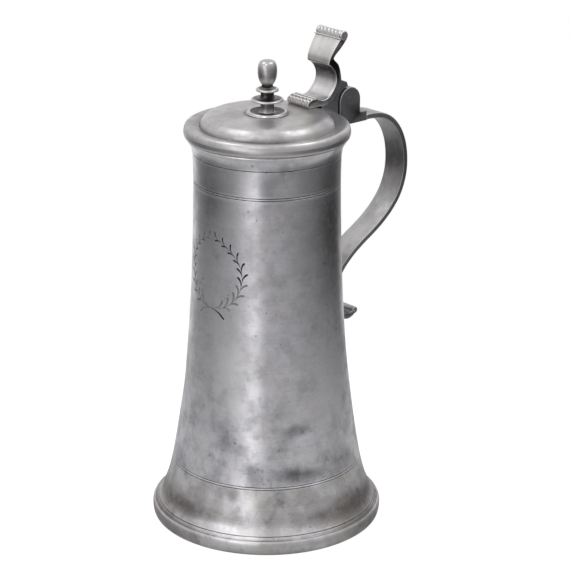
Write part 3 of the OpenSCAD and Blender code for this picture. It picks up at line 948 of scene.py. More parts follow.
def skirt_radius(z):
    t = (JOINT_Z - z) / (JOINT_Z - BAND_Z)
    spread = FOOT_R - BAND_STEP - JOINT_R
    return JOINT_R + spread * (FOOT_TAPER_SHARE * t + (1 - FOOT_TAPER_SHARE) * t ** FOOT_POWER)


def lined_wall(radius, start, end, count, lines):
    """A wall's outline from one height up to another, with incised lines round it."""
    size = sizes()
    half, depth = size.line_width / 2, size.line_depth
    heights = [(z, 0.0) for z in levels(start, end, count)
               if all(abs(z - line) > LINE_CLEAR * half for line in lines)]
    for line in lines:
        heights += [(line + step * half, share * depth) for step, share in LINE_STEPS]
    kept = sorted(h for h in heights if start <= h[0] <= end)
    return [(radius(z) - cut, z) for z, cut in kept]


# Azimuth in degrees and height of each dent's centre, how far it spreads round and
# up in millimetres, and its share of the deepest dent. A share below zero is a bulge.
DENTS = (
    (255, 79, 12, 5, 1.0), (251, 50, 12, 5, 0.8), (263, 104, 9, 4, 0.5), (268, 36, 8, 4, 0.4),
    (272, 86, 8, 6, 0.35), (244, 72, 7, 5, 0.3), (236, 120, 12, 16, 0.25), (200, 62, 14, 12, 0.3),
    (218, 90, 14, 16, -0.12), (243, 140, 14, 20, -0.2), (286, 120, 12, 16, 0.4), (192, 110, 12, 20, -0.3),
    (234, 52, 8, 7, 0.25), (300, 80, 14, 12, -0.4), (140, 90, 16, 16, 0.6), (60, 100, 18, 20, 0.6),
    (95, 70, 12, 9, -0.5), (20, 90, 14, 18, 0.5), (330, 110, 12, 14, 0.4),
    (255, 190, 16, 18, 0.2), (275, 165, 14, 16, -0.25), (110, 160, 14, 18, 0.3),
)
# The same for each tarnished or painted-shade spot, with its darkness. One below zero is a rubbed place or a
# painted highlight.
# Painted light here: the dark crescents below the dents, the bright clouds above them and the darker upper
# right of the drum.
STAINS_AND_PAINTED_LIGHT = (
    (253, 75.5, 13, 3.4, 0.6), (249, 79, 4, 2.4, 0.3), (251, 47, 14, 4.2, 0.6), (243, 50, 4, 3, 0.3),
    (263, 100.5, 6, 3, 0.65), (261, 112.5, 0.7, 0.5, 0.9), (269, 106, 4, 3, 0.25),
    (244, 71, 4, 3, 0.2), (270, 76, 5, 4, 0.25), (297, 131, 5, 4, 0.2), (256, 163, 3.5, 1.2, 0.25),
    (247, 157, 2.4, 1.1, 0.3), (201, 57, 7, 16, 0.25), (217, 54, 8, 14, 0.2), (182, 57, 14, 14, -0.4),
    (218, 52, 4, 4, 0.25), (198, 66, 7, 4, 0.2),
    (255, 88, 11, 5.5, -0.8), (252, 57, 12, 4.5, -0.8), (258, 66, 6, 5, -0.35), (274, 98, 12, 26, -0.4),
    (207, 88, 11, 10, -0.5), (222, 70, 8, 10, -0.3), (213, 79, 5, 4, 0.2), (286, 100, 10, 32, -0.45),
    (288, 205, 20, 50, 0.7), (176, 225, 12, 30, 0.35), (198, 120, 16, 24, -0.8), (240, 108, 50, 20, -0.3),
    (263, 78, 10, 6, -0.35),
    (216, 230, 4, 10, -0.5), (229, 230, 7, 11, 0.3), (186, 222, 16, 16, 0.25),
    (100, 60, 9, 4, 0.4), (98, 70, 9, 5, -0.4), (120, 190, 10, 8, 0.2),
    (30, 90, 10, 4, 0.35), (330, 70, 8, 4, 0.35), (60, 130, 12, 9, -0.25),
)
# The same on the foot, with heights above the band: brown soil and painted shade at the sides, and painted
# highlights as a strip just above the band, a streak up the skirt's front and a patch on the band's front
FOOT_STAINS_AND_PAINTED_LIGHT = (
    (163, 7, 34, 11, 0.6), (294, 7, 32, 10, 0.6), (262, 10, 18, 5, 0.25), (196, 10, 22, 5, 0.2),
    (272, 3.5, 30, 3, 0.3), (213, 4, 30, 2.4, -0.6), (209, 27, 6, 6, 0.35), (219, 17, 5, 14, -0.8),
    (276, 16, 9, 3, 0.3), (262, 19, 8, 3, 0.3), (270, 25, 7, 4, -0.5), (163, -6, 30, 7, 0.5),
    (296, -6, 36, 7, 0.55), (208, -5, 18, 4, -0.6),
    (20, 8, 34, 10, 0.5), (95, 8, 30, 9, 0.45), (60, 4, 24, 3, -0.3), (330, 8, 22, 8, 0.4),
)
# The same on the lid, with heights above its lower edge: painted shade on the rim's front, painted highlights
# low on its front, at its sides and on the dome's front, and brown tarnish elsewhere
LID_STAINS_AND_PAINTED_LIGHT = (
    (226, 8, 30, 2.6, 0.35), (232, 2.5, 26, 2.6, -0.8), (189, 4.5, 12, 3, -0.7), (258, 4.5, 10, 3, -0.6),
    (226, 15, 13, 2, -0.9), (150, 15, 10, 2, 0.2), (288, 5, 26, 4, -0.45), (176, 5, 16, 4, 0.2),
    (40, 5, 40, 4, 0.25), (120, 5, 20, 4, 0.2),
)


def round_spots(co, spots):
    """At each point, the sum of soft spots round a piece: azimuth, height, two spreads and amount."""
    azimuth = np.degrees(np.arctan2(co[:, 1], co[:, 0]))
    radius = np.hypot(co[:, 0], co[:, 1])
    total = np.zeros(len(co))
    for centre, height, wide, tall, amount in spots:
        around = np.radians((azimuth - centre + 180) % 360 - 180) * radius / (wide * MM)
        up = (co[:, 2] - height * MM) / (tall * MM)
        total += amount * np.exp(-around ** 2 - up ** 2)
    return total


def dented(co):
    """Pushes the drum's wall in or out at its dents."""
    radius = np.hypot(co[:, 0], co[:, 1])
    z = co[:, 2]
    fade = np.clip((z - JOINT_Z) / DENT_FADE, 0, 1) * np.clip((COLLAR_Z - z) / DENT_FADE, 0, 1)
    ratio = 1 - round_spots(co, DENTS) * sizes().dent_depth * fade / radius
    return np.stack([co[:, 0] * ratio, co[:, 1] * ratio, z], 1)


def paint_stains_and_light(piece, spots, base=0.0):
    """Darkens or lightens a turned piece at its spots, whose heights are above the base: tarnish and rubbing,
    painted shade and painted highlights.
    """
    mesh = piece.data
    co = np.empty(len(mesh.vertices) * 3)
    mesh.vertices.foreach_get("co", co)
    wear = np.empty(len(mesh.vertices))
    data = mesh.attributes["wear"].data
    data.foreach_get("value", wear)
    co = co.reshape(-1, 3) - (0, 0, base)
    data.foreach_set("value", np.clip(wear - round_spots(co, spots), -1, 1))


WREATH_AZIMUTH = math.radians(182.5)
# One branch of the wreath from the centre, across and up, in millimetres
STEM_POINTS = ((-10.5, -28), (-6.5, -24.6), (-1, -22.8), (7, -21.6), (14.5, -17.5), (19.5, -11.5), (22, -4.5),
               (22.4, 2), (20.6, 8.6), (16.4, 14.6), (10.8, 19.2), (4.6, 22.2))
STEM_STEPS = 5
STEM_W = 1.2 * MM
# Where the leaves start along a branch, how they shrink and turn towards its tip, and
# how deep the strokes are for their width
LEAVES = {"First Leaf": 0.2, "Tip Share": 0.62, "First Splay": 0.24, "Last Splay": -0.17, "Depth Share": 0.5}


def wreath_cutter():
    """The wreath's strokes wrapped on the drum's wall, to cut it with."""
    size = sizes()
    stem = [(x * MM, y * MM, 0.0) for x, y in smooth(STEM_POINTS, STEM_STEPS)]
    line = bpy.data.meshes.new("stem_line")
    line.from_pydata(stem, [(i, i + 1) for i in range(len(stem) - 1)], [])
    flat = grown("leaf_branch", leaf_branch_tree(), {
        "Leaves": size.leaf_count, "Leaf Length": size.leaf_long, "Leaf Width": size.leaf_wide,
        "Stem Width": STEM_W, "Material": engraved_pewter(), **LEAVES}, line)
    girth = drum_radius(size.wreath_z)
    co = np.array([v.co for v in flat.vertices])
    sides = []
    for mirror in (1, -1):
        azimuth = WREATH_AZIMUTH + mirror * co[:, 0] / girth
        z = size.wreath_z + co[:, 1]
        r = np.array([drum_radius(h) for h in z]) + co[:, 2]
        side = flat.copy()
        wrapped = np.stack([r * np.cos(azimuth), r * np.sin(azimuth), z], 1)
        side.vertices.foreach_set("co", wrapped.ravel())
        sides.append(side)
    bpy.data.meshes.remove(flat)
    cutter = joined("wreath_cutter", sides)
    point_outwards(cutter.data)
    return cutter


def engrave(drum):
    """Cuts the wreath into the drum."""
    cutter = wreath_cutter()
    cut = drum.modifiers.new("engrave", "BOOLEAN")
    cut.object = cutter
    cut.operation = "DIFFERENCE"
    cut.solver = "EXACT"
    cut.use_self = True
    cut.material_mode = "TRANSFER"
    bpy.context.view_layer.update()
    evaluated = drum.evaluated_get(bpy.context.evaluated_depsgraph_get())
    mesh = bpy.data.meshes.new_from_object(evaluated)
    drum.modifiers.clear()
    old = drum.data
    drum.data = mesh
    mesh.name = drum.name
    bpy.data.meshes.remove(old)
    bpy.data.objects.remove(cutter)
    soften(drum.data)


DRUM_RINGS = 102
INNER_DRUM_RINGS = 24
# Reach in millimetres and amount of the dirt in the drum's incised lines
LINE_DIRT = (0.6, 0.45)


class FLAGON_OT_drum(bpy.types.Operator):
    """Turn the drum, dent it and engrave its wreath"""
    bl_idname = "flagon.drum"
    bl_label = "Drum"

    def execute(self, context):
        size = sizes()
        waist_z = MOUTH_Z - size.waist_drop
        lines = (JOINT_Z + size.line_width, waist_z - size.line_pitch / 2, waist_z + size.line_pitch / 2,
                 COLLAR_Z - size.line_width)
        outside = lined_wall(drum_radius, JOINT_Z, COLLAR_Z, DRUM_RINGS, lines)
        inside = [(drum_radius(z) - size.drum_wall, z) for z in levels(COLLAR_Z, JOINT_Z, INNER_DRUM_RINGS)]
        dirt = dirt_and_painted_light_round(drum_radius, [(z, *LINE_DIRT) for z in lines])
        drum = turned("turned_drum", outside, inside, dirt, turns=DRUM_TURNS, bend=dented)
        paint_stains_and_light(drum, STAINS_AND_PAINTED_LIGHT)
        finished(drum, drum_pewter(), VESSEL, "drum_pewter", "body_drum")
        engrave(drum)
        return {"FINISHED"}


COLLAR_SHARES = ((0, 0), (0.08, 0.22), (0.3, 0.48), (0.68, 0.74), (1, 0.93))
# Dirt and painted shade at the collar's foot, dirt at its top and rubbing round its middle
COLLAR_DIRT_AND_SHADE_SHARES = ((0, 0, 0.7, 1), (1, 1, 0.5, 1), (0.5, 0.5, 5, -0.5))


class FLAGON_OT_collar(bpy.types.Operator):
    """Turn the collar round the mouth"""
    bl_idname = "flagon.collar"
    bl_label = "Collar"

    def execute(self, context):
        size = sizes()
        foot_r = drum_radius(COLLAR_Z) + COLLAR_STEP
        inner_r = drum_radius(COLLAR_Z) - size.drum_wall
        box = (foot_r, COLLAR_Z, LIP_R - foot_r, MOUTH_Z - COLLAR_Z)
        sweep = smooth(placed(COLLAR_SHARES, *box))
        outside = [(foot_r - COLLAR_STEP, COLLAR_Z)] + sweep
        outside += [(LIP_R - COLLAR_STEP / 2, MOUTH_Z)]
        inside = [(inner_r, MOUTH_Z), (inner_r, COLLAR_Z)]
        collar = turned("turned_collar", outside, inside, dirt_and_painted_light_in(box, COLLAR_DIRT_AND_SHADE_SHARES))
        finished(collar, drum_pewter(), VESSEL, "drum_pewter", "mouth_collar")
        return {"FINISHED"}


SKIRT_RINGS = 30
INNER_SKIRT_RINGS = 14
LAST_LINE_UP = 1.5 * MM
JOINT_LINE_DIRT = (0.6, 0.8)
LAST_LINE_DIRT = (0.5, 0.5)
# Height above the band, reach and amount of the marks round the skirt, in millimetres: dirt at the band, a
# painted highlight just above it and a band of painted shade higher up
SKIRT_DIRT_AND_PAINTED_LIGHT = ((0, 0.8, 1), (3.4, 2.2, -0.3), (10.5, 5, 0.3))
BAND_SHARES = ((0, 0), (0.62, 0.12), (0.92, 0.36), (1, 0.62), (0.88, 0.84), (0.62, 0.95))
# The fine bead between the band and the skirt, in millimetres out and up from the
# skirt's edge, and the dirt beside it
BEAD_POINTS = ((0.9, -0.35), (0.55, 0), (0.2, 0))
BEAD_DIRT = ((0, 0, 0.5, 1), (0.9, -0.35, 0.4, 1))


class FLAGON_OT_foot(bpy.types.Operator):
    """Turn the spreading foot and its moulded band"""
    bl_idname = "flagon.foot"
    bl_label = "Foot"

    def execute(self, context):
        size = sizes()
        line = JOINT_Z - size.line_width
        last_line = BAND_Z + LAST_LINE_UP
        outside = lined_wall(skirt_radius, BAND_Z, JOINT_Z, SKIRT_RINGS, [line, last_line])
        inside = [(skirt_radius(z) - size.foot_wall, z) for z in levels(JOINT_Z, BAND_Z, INNER_SKIRT_RINGS)]
        rows = [(line, *JOINT_LINE_DIRT), (last_line, *LAST_LINE_DIRT)]
        rows += [(BAND_Z + up * MM, reach, amount) for up, reach, amount in SKIRT_DIRT_AND_PAINTED_LIGHT]
        dirt = dirt_and_painted_light_round(skirt_radius, rows)
        skirt = turned("turned_skirt", outside, inside, dirt)
        paint_stains_and_light(skirt, FOOT_STAINS_AND_PAINTED_LIGHT, BAND_Z)
        finished(skirt, foot_pewter(), VESSEL, "foot_pewter", "foot_skirt")

        band_r = FOOT_R - BAND_SWELL
        swell = smooth(placed(BAND_SHARES, band_r, 0, BAND_SWELL, BAND_Z))
        box = (skirt_radius(BAND_Z), BAND_Z, MM, MM)
        inner_r = FOOT_R - BAND_WIDE
        hollow = [(inner_r, BAND_Z), (inner_r, 0)]
        outside = swell + placed(BEAD_POINTS, *box)
        band = turned("turned_band", outside, hollow, dirt_and_painted_light_in(box, BEAD_DIRT))
        paint_stains_and_light(band, FOOT_STAINS_AND_PAINTED_LIGHT, BAND_Z)
        finished(band, foot_pewter(), VESSEL, "foot_pewter", "foot_rim")
        dressed("floor_disc", foot_pewter())
        return {"FINISHED"}


RIM_OVERHANG = 2.1 * MM
RIM_CREST = 1.2 * MM
RIM_WALL = 6.5 * MM
RIM_HOLLOW = 5.5 * MM
SHANK_GAP = 0.03 * MM
RIM_SHARES = ((-1, 0), (-0.25, 0.16), (0, 0.43), (-0.06, 0.62), (-0.3, 0.82), (-0.75, 0.955), (-1.35, 1),
              (-2.1, 0.99))
DOME_SHARES = ((1, 0), (0.99, 0.09), (0.976, 0.3), (0.952, 0.51), (0.905, 0.76), (0.853, 0.89), (0.782, 0.96),
               (0.69, 0.99), (0.57, 1))
INNER_DOME_SHARES = ((0.55, 0), (0.68, -0.02), (0.78, -0.08), (0.84, -0.2), (0.88, -0.45))
CROWN_RINGS = 16
# Where the rim meets the groove, the rubbing beside it and the dirt and painted shade on the rim, in
# millimetres out and up from the dome's foot, then the dirt on the crown and the painted contact shadow round
# the saucer
GROOVE_LIP = ((0.5, 0.05),)
GROOVE_DIRT_AND_SHADE = ((0.25, 0, 0.6, -0.2), (4.5, 0, 5, 0.16))
CROWN_DIRT_SHARES = ((0.55, 1, 6, 0.08),)
SAUCER_CONTACT_SHADOW_SHARES = ((1, 0, 2, 0.75),)
DOME_H = 7.5 * MM


def groove_z():
    return CROWN_Z - DOME_H


class FLAGON_OT_lid(bpy.types.Operator):
    """Turn the domed lid and dress its bezel"""
    bl_idname = "flagon.lid"
    bl_label = "Lid"

    def execute(self, context):
        size = sizes()
        dome_r = LID_R - size.rim_wide
        rim_h = groove_z() + RIM_CREST - LID_Z
        dome_h = CROWN_Z - groove_z()
        hole = size.shank_d / 2 + SHANK_GAP
        rim = smooth(placed(RIM_SHARES, LID_R, LID_Z, RIM_OVERHANG, rim_h))
        rim = [(min(r, LID_R), z) for r, z in rim]
        groove = (dome_r, groove_z(), MM, MM)
        box = (0, groove_z(), dome_r, dome_h)
        dome = [(r, min(z, CROWN_Z)) for r, z in smooth(placed(DOME_SHARES, *box))]
        crown = [(r, CROWN_Z) for r in levels(dome[-1][0], hole, CROWN_RINGS)[1:]]
        outside = rim + placed(GROOVE_LIP, *groove) + dome + crown
        under_z = CROWN_Z - size.lid_wall
        inside = [(hole, under_z)] + placed(INNER_DOME_SHARES, 0, under_z, dome_r, dome_h)
        inside += [(dome_r - 2 * size.lid_wall, LID_Z + RIM_HOLLOW), (LID_R - RIM_WALL, LID_Z + RIM_HOLLOW),
                   (LID_R - RIM_WALL, LID_Z)]
        dirt = dirt_and_painted_light_in(groove, GROOVE_DIRT_AND_SHADE) + dirt_and_painted_light_in(box, CROWN_DIRT_SHARES)
        dirt += dirt_and_painted_light_in((0, CROWN_Z, size.saucer_d / 2, 0), SAUCER_CONTACT_SHADOW_SHARES)
        lid = turned("turned_lid", outside, inside, dirt)
        paint_stains_and_light(lid, LID_STAINS_AND_PAINTED_LIGHT, LID_Z)
        finished(lid, lid_pewter(), LID, "lid_pewter", "lid_cover")
        dressed("lid_bezel", lid_pewter())
        return {"FINISHED"}


SAUCER_SHARES = ((0.96, 0), (1, 0.16), (0.985, 0.4), (0.94, 0.9), (0.89, 1), (0.83, 0.93), (0.77, 0.68),
                 (0.45, 0.5))
DISH_SHARE = 0.5
# Dirt and painted shade in the saucer's dish towards the neck
SAUCER_DIRT_AND_SHADE_SHARES = ((0.65, 0, 2.4, 0.9), (0.4, 0, 2.6, 1))
NECK_FOOT_SHARES = ((0.43, 0),)
NECK_SHARES = ((0.41, 0.01), (0.41, 0.2))
DISC_SHARES = ((0.9, 0.212), (0.98, 0.221), (1, 0.236), (0.97, 0.254), (0.9, 0.264), (0.8, 0.262),
               (0.6, 0.272), (0.45, 0.29))
WAIST_SHARES = ((0.41, 0.31), (0.41, 0.39))
RING_SHARES = ((0.6, 0.404), (0.68, 0.413), (0.705, 0.43), (0.68, 0.449), (0.6, 0.461), (0.5, 0.467),
               (0.43, 0.482))
KNOB_SHARES = ((0.59, 0.497), (0.585, 0.528), (0.69, 0.56), (0.83, 0.603), (0.94, 0.66), (1, 0.735),
               (1, 0.81), (0.965, 0.88), (0.885, 0.935), (0.74, 0.972), (0.54, 0.992), (0.27, 0.999), (0, 1))
# Dirt and painted shade in the finial's necks and on its disc's top
FINIAL_DIRT_AND_SHADE_SHARES = ((0.38, 0.19, 1.5, 1), (0.38, 0.3, 1, 1), (0.38, 0.39, 1, 1), (0.38, 0.49, 1.2, 1),
                      (0.38, 0.08, 3, 0.75), (0.7, 0.272, 2, 0.8))
WASHER_T = 1.2 * MM
PEEN_T = 1.4 * MM
PEEN_R = 3.4 * MM


class FLAGON_OT_finial(bpy.types.Operator):
    """Turn the finial and its saucer, and dress the washer inside the lid"""
    bl_idname = "flagon.finial"
    bl_label = "Finial"

    def execute(self, context):
        size = sizes()
        hole = size.shank_d / 2 + SHANK_GAP
        seat_z = CROWN_Z + DISH_SHARE * size.saucer_h
        tall = FINIAL_Z - seat_z
        saucer_r = size.saucer_d / 2
        shell = smooth(placed(SAUCER_SHARES, 0, CROWN_Z, saucer_r, size.saucer_h))
        outside = [(hole, CROWN_Z)] + shell + [(hole, seat_z)]
        dirt = dirt_and_painted_light_in((0, seat_z, saucer_r, 0), SAUCER_DIRT_AND_SHADE_SHARES)
        saucer = turned("turned_saucer", outside, (), dirt, turns=SAUCER_TURNS)
        finished(saucer, finial_pewter(), LID, "finial_pewter", "finial_saucer")

        low_z = CROWN_Z - size.lid_wall - WASHER_T
        shank = size.shank_d / 2
        box = (0, seat_z, size.disc_d / 2, tall)
        outside = [(0, low_z - PEEN_T), (PEEN_R, low_z - PEEN_T), (PEEN_R, low_z), (shank, low_z)]
        outside += [(shank, seat_z)] + placed(NECK_FOOT_SHARES, *box)
        outside += smooth(placed(NECK_SHARES, *box), steps=2) + smooth(placed(DISC_SHARES, *box), steps=4)
        outside += placed(WAIST_SHARES, *box) + smooth(placed(RING_SHARES, *box), steps=4)
        knob = smooth(placed(KNOB_SHARES, 0, seat_z, size.knob_d / 2, tall), steps=5)
        outside += [(max(r, 0.0), min(z, FINIAL_Z)) for r, z in knob]
        dirt = dirt_and_painted_light_in(box, FINIAL_DIRT_AND_SHADE_SHARES)
        finial = turned("turned_finial", outside, (), dirt, turns=FINIAL_TURNS)
        finished(finial, finial_pewter(), LID, "finial_pewter", "finial")
        dressed("finial_washer", finial_pewter())
        return {"FINISHED"}


STRAP_SHARES = ((0.47, 0.002), (0.64, -0.01), (0.785, -0.05), (0.9, -0.12), (0.972, -0.21), (1, -0.31),
                (0.985, -0.41), (0.917, -0.508), (0.805, -0.588), (0.672, -0.652), (0.537, -0.702),
                (0.382, -0.752), (0.222, -0.814), (0.092, -0.885), (0.018, -0.965), (0, -1.03))
TAIL_SHARES = ((0.012, -1.085), (0.045, -1.13), (0.11, -1.168), (0.185, -1.183), (0.25, -1.176),
               (0.29, -1.16))
TAIL_THICK_SHARES = (1, 1, 1.05, 1.15, 1.15, 0.95, 0.6)
STRAP_RISE = 0.4 * MM
PAD_T = 0.9 * MM
TAIL_LEAD = 0.8 * MM
ROLL_R = 2.3 * MM
ROLL_SHORT = 0.1 * MM
# Angles in degrees and steps of a roll that closes on itself
ROLL_ARC = (0, 350, 28)
# Share of the grip's drop where painted shade lies on the bend and where the strap is rubbed,
# then the reach and the amount of each, and of the dirt in the tail's curl and round its roll
BEND_SHARE = 0.3
RUBBED_SHARE = 0.72
BEND_PAINTED_SHADE = (20 * MM, 0.5)
RUBBED_DIRT = (18 * MM, -0.28)
CURL_DIRT = (3.6 * MM, 0.65)
ROLL_DIRT = (1.6 * ROLL_R, 0.4)


def strap_points(shares):
    """Places on the strap's centre line, from its shares of the bow's width and drop."""
    size = sizes()
    meet_z = MOUTH_Z - size.grip_drop
    near = drum_radius(meet_z) + PAD_T + size.strap_t / 2
    far = REACH_X - size.strap_t / 2
    top = MOUTH_Z + STRAP_RISE
    return placed(shares, near, top, far - near, top - meet_z)


def strap_half(z):
    """Half the strap's width at a height."""
    size = sizes()
    top = MOUTH_Z + STRAP_RISE + size.strap_t
    bottom = low("handle_tail").z
    share = (top - z) / (top - bottom)
    return (size.strap_w + (size.strap_low_w - size.strap_w) * min(max(share, 0.0), 1.0)) / 2


class FLAGON_OT_strap(bpy.types.Operator):
    """Bend the handle's strap and its tail, and dress the pad behind it"""
    bl_idname = "flagon.strap"
    bl_label = "Strap"

    def execute(self, context):
        size = sizes()
        path = smooth([(LEDGE_X, MOUTH_Z + STRAP_RISE)] + strap_points(STRAP_SHARES), steps=7)
        outline = strip(path, [size.strap_t / 2] * len(path))
        dirt = [(REACH_X - size.strap_t, MOUTH_Z - BEND_SHARE * size.grip_drop, *BEND_PAINTED_SHADE),
                ((REACH_X + size.waist_r) / 2, MOUTH_Z - RUBBED_SHARE * size.grip_drop, *RUBBED_DIRT)]
        strap = joined("bent_strap", [slab("strap", outline, strap_half, size.edge_round, dirt)])
        finished(strap, handle_pewter(), VESSEL, "handle_pewter", "handle_strap")

        end, before = np.array(path[-1]), np.array(path[-2])
        start = end + TAIL_LEAD * (end - before) / np.linalg.norm(end - before)
        tail_path = [tuple(end)] + smooth([tuple(start)] + strap_points(TAIL_SHARES))
        shares = np.interp(np.linspace(0, len(TAIL_THICK_SHARES) - 1, len(tail_path)),
                           range(len(TAIL_THICK_SHARES)), TAIL_THICK_SHARES)
        curl_x, curl_z = tail_path[len(tail_path) * 2 // 3]
        flick = slab("flick", strip(tail_path, shares * size.strap_t / 2), strap_half, size.edge_round,
                     [(curl_x, curl_z + size.strap_t / 2, *CURL_DIRT)])
        tip = tail_path[-1]
        roll = slab("roll", arc(*tip, ROLL_R, *ROLL_ARC), lambda z: strap_half(z) - ROLL_SHORT,
                    size.edge_round, [(*tip, *ROLL_DIRT)])
        tail = joined("bent_tail", [flick, roll])
        finished(tail, handle_pewter(), VESSEL, "handle_pewter", "handle_tail")
        dressed("handle_pad", handle_pewter())
        return {"FINISHED"}


HEEL_SHARES = ((0, 0), (0.25, -0.03), (0.5, -0.14), (0.72, -0.36), (0.88, -0.64), (1, -1))
HEEL_DROP = 19 * MM
LID_GAP = 0.6 * MM
SWEEP_GAP = 0.9 * MM
KNUCKLE_GAP = 0.35 * MM
BRACKET_HALF = 8.3 * MM
BRACKET_SHARES = ((0.36, -0.16), (0.36, 0.02), (0.6, 0.11), (0.72, 0.3), (0.775, 0.302), (0.83, 0.287),
                  (0.935, 0.25), (0.96, 0.205))
# Angles and steps of the lug's round top, the bracket's hollow back and the knuckle
LUG_ARC = (180, 0, 28)
SADDLE_ARC = (98, 180, 14)
KNUCKLE_ARC = (90, -90, 24)
KNUCKLE_EDGE = 0.3 * MM
LEDGE_DIRT = (1.2 * MM, 1.0)


def thumb_points(shares):
    """Places on the thumbpiece, from its shares of the box between its toe and the hinge."""
    return placed(shares, THUMB_X, CROWN_Z, HINGE.x - THUMB_X, THUMB_Z - CROWN_Z)


class FLAGON_OT_hinge(bpy.types.Operator):
    """Cast the hinge's block and the lid's bracket, and dress the pin"""
    bl_idname = "flagon.hinge"
    bl_label = "Hinge"

    def execute(self, context):
        size = sizes()
        edge = size.edge_round
        x, z, lug_r = HINGE.x, HINGE.z, size.lug_r
        top = z - lug_r
        under = MOUTH_Z + STRAP_RISE - size.strap_t / 2
        drum_x = drum_radius(MOUTH_Z - HEEL_DROP) - size.drum_wall / 2
        shelf = MOUTH_Z - LID_GAP
        heel = smooth(placed(HEEL_SHARES, x, under, drum_x - x, HEEL_DROP))
        front = [(drum_x, shelf), (x - lug_r, shelf)]
        back = [(LEDGE_X, top), (LEDGE_X, under)] + heel
        lug = arc(x, z, lug_r, *LUG_ARC)
        cheek = front + lug + [(x + lug_r, top)] + back
        core = front + [(x - lug_r, top)] + back
        half_lug = size.lug_t / 2
        dirt = [(x + lug_r, top, *LEDGE_DIRT)]
        cheeks = [slab("cheek", cheek, lambda z: half_lug, edge, dirt, rounded, centre=centre)
                  for rounded, centre in (((True, False), half_lug - BLOCK_HALF),
                                          ((False, True), BLOCK_HALF - half_lug))]
        middle = slab("core", core, lambda z: BLOCK_HALF - size.lug_t, edge, (), (False, False))
        block = joined("cast_block", [*cheeks, middle])
        finished(block, hinge_pewter(), VESSEL, "hinge_pewter", "hinge_block")
        dressed("hinge_pin", hinge_pewter())

        clear_r = lug_r + SWEEP_GAP
        steps = thumb_points(BRACKET_SHARES)
        wide = steps + arc(x, z, clear_r, *SADDLE_ARC) + [(x - clear_r, LID_Z)]
        knuckle_r = lug_r - KNUCKLE_GAP
        knuckle_half = BLOCK_HALF - size.lug_t - KNUCKLE_GAP
        knee_x = x - lug_r - LID_GAP
        arm = steps[:3] + [(knee_x, z + knuckle_r)] + arc(x, z, knuckle_r, *KNUCKLE_ARC)
        arm += [(knee_x, top + LID_GAP), (knee_x, LID_Z)]
        bracket = joined("cast_bracket", [
            slab("saddle", wide, lambda z: BRACKET_HALF, edge),
            slab("knuckle", arm, lambda z: knuckle_half, KNUCKLE_EDGE)])
        finished(bracket, hinge_pewter(), LID, "hinge_pewter", "lid_bracket")
        return {"FINISHED"}


NOSE_SHARES = ((0.45, 0), (0.03, 0.0), (0, 0.035), (0, 0.075), (0.06, 0.108), (0.13, 0.12), (0.215, 0.115),
               (0.3, 0.085))
BOW_SHARES = ((0.3, 0.085), (0.38, 0.082), (0.475, 0.107), (0.57, 0.182), (0.628, 0.26), (0.645, 0.325),
              (0.636, 0.39), (0.59, 0.463), (0.53, 0.515), (0.46, 0.553))
PLATE_SHARES = ((0.455, 0.577), (0.485, 0.655), (0.54, 0.735), (0.603, 0.81), (0.675, 0.888))
ROLL_SHARES = ((0.695, 0.893), (0.701, 0.93), (0.717, 0.963), (0.755, 0.989), (0.797, 0.988), (0.838, 0.952),
               (0.845, 0.909), (0.835, 0.872))
BACK_SHARES = ((0.835, 0.872), (0.765, 0.8), (0.69, 0.735), (0.62, 0.685), (0.578, 0.64), (0.58, 0.622))
HUMP_SHARES = ((0.58, 0.622), (0.64, 0.578), (0.7, 0.53), (0.737, 0.46), (0.762, 0.36), (0.768, 0.3),
               (0.748, 0.225), (0.69, 0.14), (0.57, 0.05), (0.45, 0))
FOOT_W_SHARE = 1.05
THUMB_WAIST_SHARE = 0.5
ROLL_Z_SHARE = 0.89
ROLL_CENTRE_SHARES = (0.774, 0.932)
ROLL_RADIUS_SHARE = 0.064
ROLL_END_W = 2.4 * MM
ROLL_PROUD = 0.15 * MM
# Where the plate and the bow are dished: from and to these shares of the height,
# forward of a share of the depth that grows with the height
DISHES = ((0.585, 0.885, 0.0375, 0.75), (0.09, 0.54, 0.655, 0))
DISH_FULLNESS = 2.5
# Dirt and painted shade in the bow, rubbing and a painted highlight on the plate, and dirt under the beak:
# shares, reach in millimetres and amount. The same round the roll, in shares of its radius.
THUMB_DIRT_AND_PAINTED_LIGHT_SHARES = ((0.6, 0.48, 7, 1), (0.6, 0.8, 6, -0.9), (0.46, 0.6, 3.4, 0.25))
ROLL_DIRT_SHARES = ((-1, -1, 1.5, 1), (-0.5, 0.6, 2.6, 0.6))
ROLL_END_RUB_SHARES = ((-1, 1, 3, -0.4),)
# Painted shade on the thumbpiece's two flat sides
FLAT_SIDE_PAINTED_SHADE = 0.5
# The slanted ridges: slant, width, where they start and how far round they reach
RIDGE_SLANT = -3.4 * MM
RIDGE_W = 1.7 * MM
RIDGE_SUNK = 0.65 * MM
RIDGE_HEM = 0.9 * MM
RIDGE_START = 192
RIDGE_TURNS = 0.42
# The row of beads under the roll
ROLL_BEADS = 21
ROLL_BEAD_SHARES = (0.672, 0.9)
ROLL_BEAD_SIZE = (0.5 * MM, 1.4 * MM, 0.5 * MM)
ROLL_BEAD_HEM = 0.8 * MM
# The rows of beads on the toe, each with its tilt, and the dirt between them
TOE_ROW_SHARES = ((0.004, 0.05), (0.028, 0.093), (0.1, 0.118), (0.19, 0.118))
TOE_TILTS = (-1.4, -0.75, -0.25, 0.1)
TOE_BEAD_SIZE = (1.25 * MM, 0.65 * MM, 0.6 * MM)
TOE_HEM = 1.1 * MM
TOE_ZIGZAG = 0.6
TOE_DIRT = (1.5 * MM, 0.8)
TRIM_WEAR = 0.8


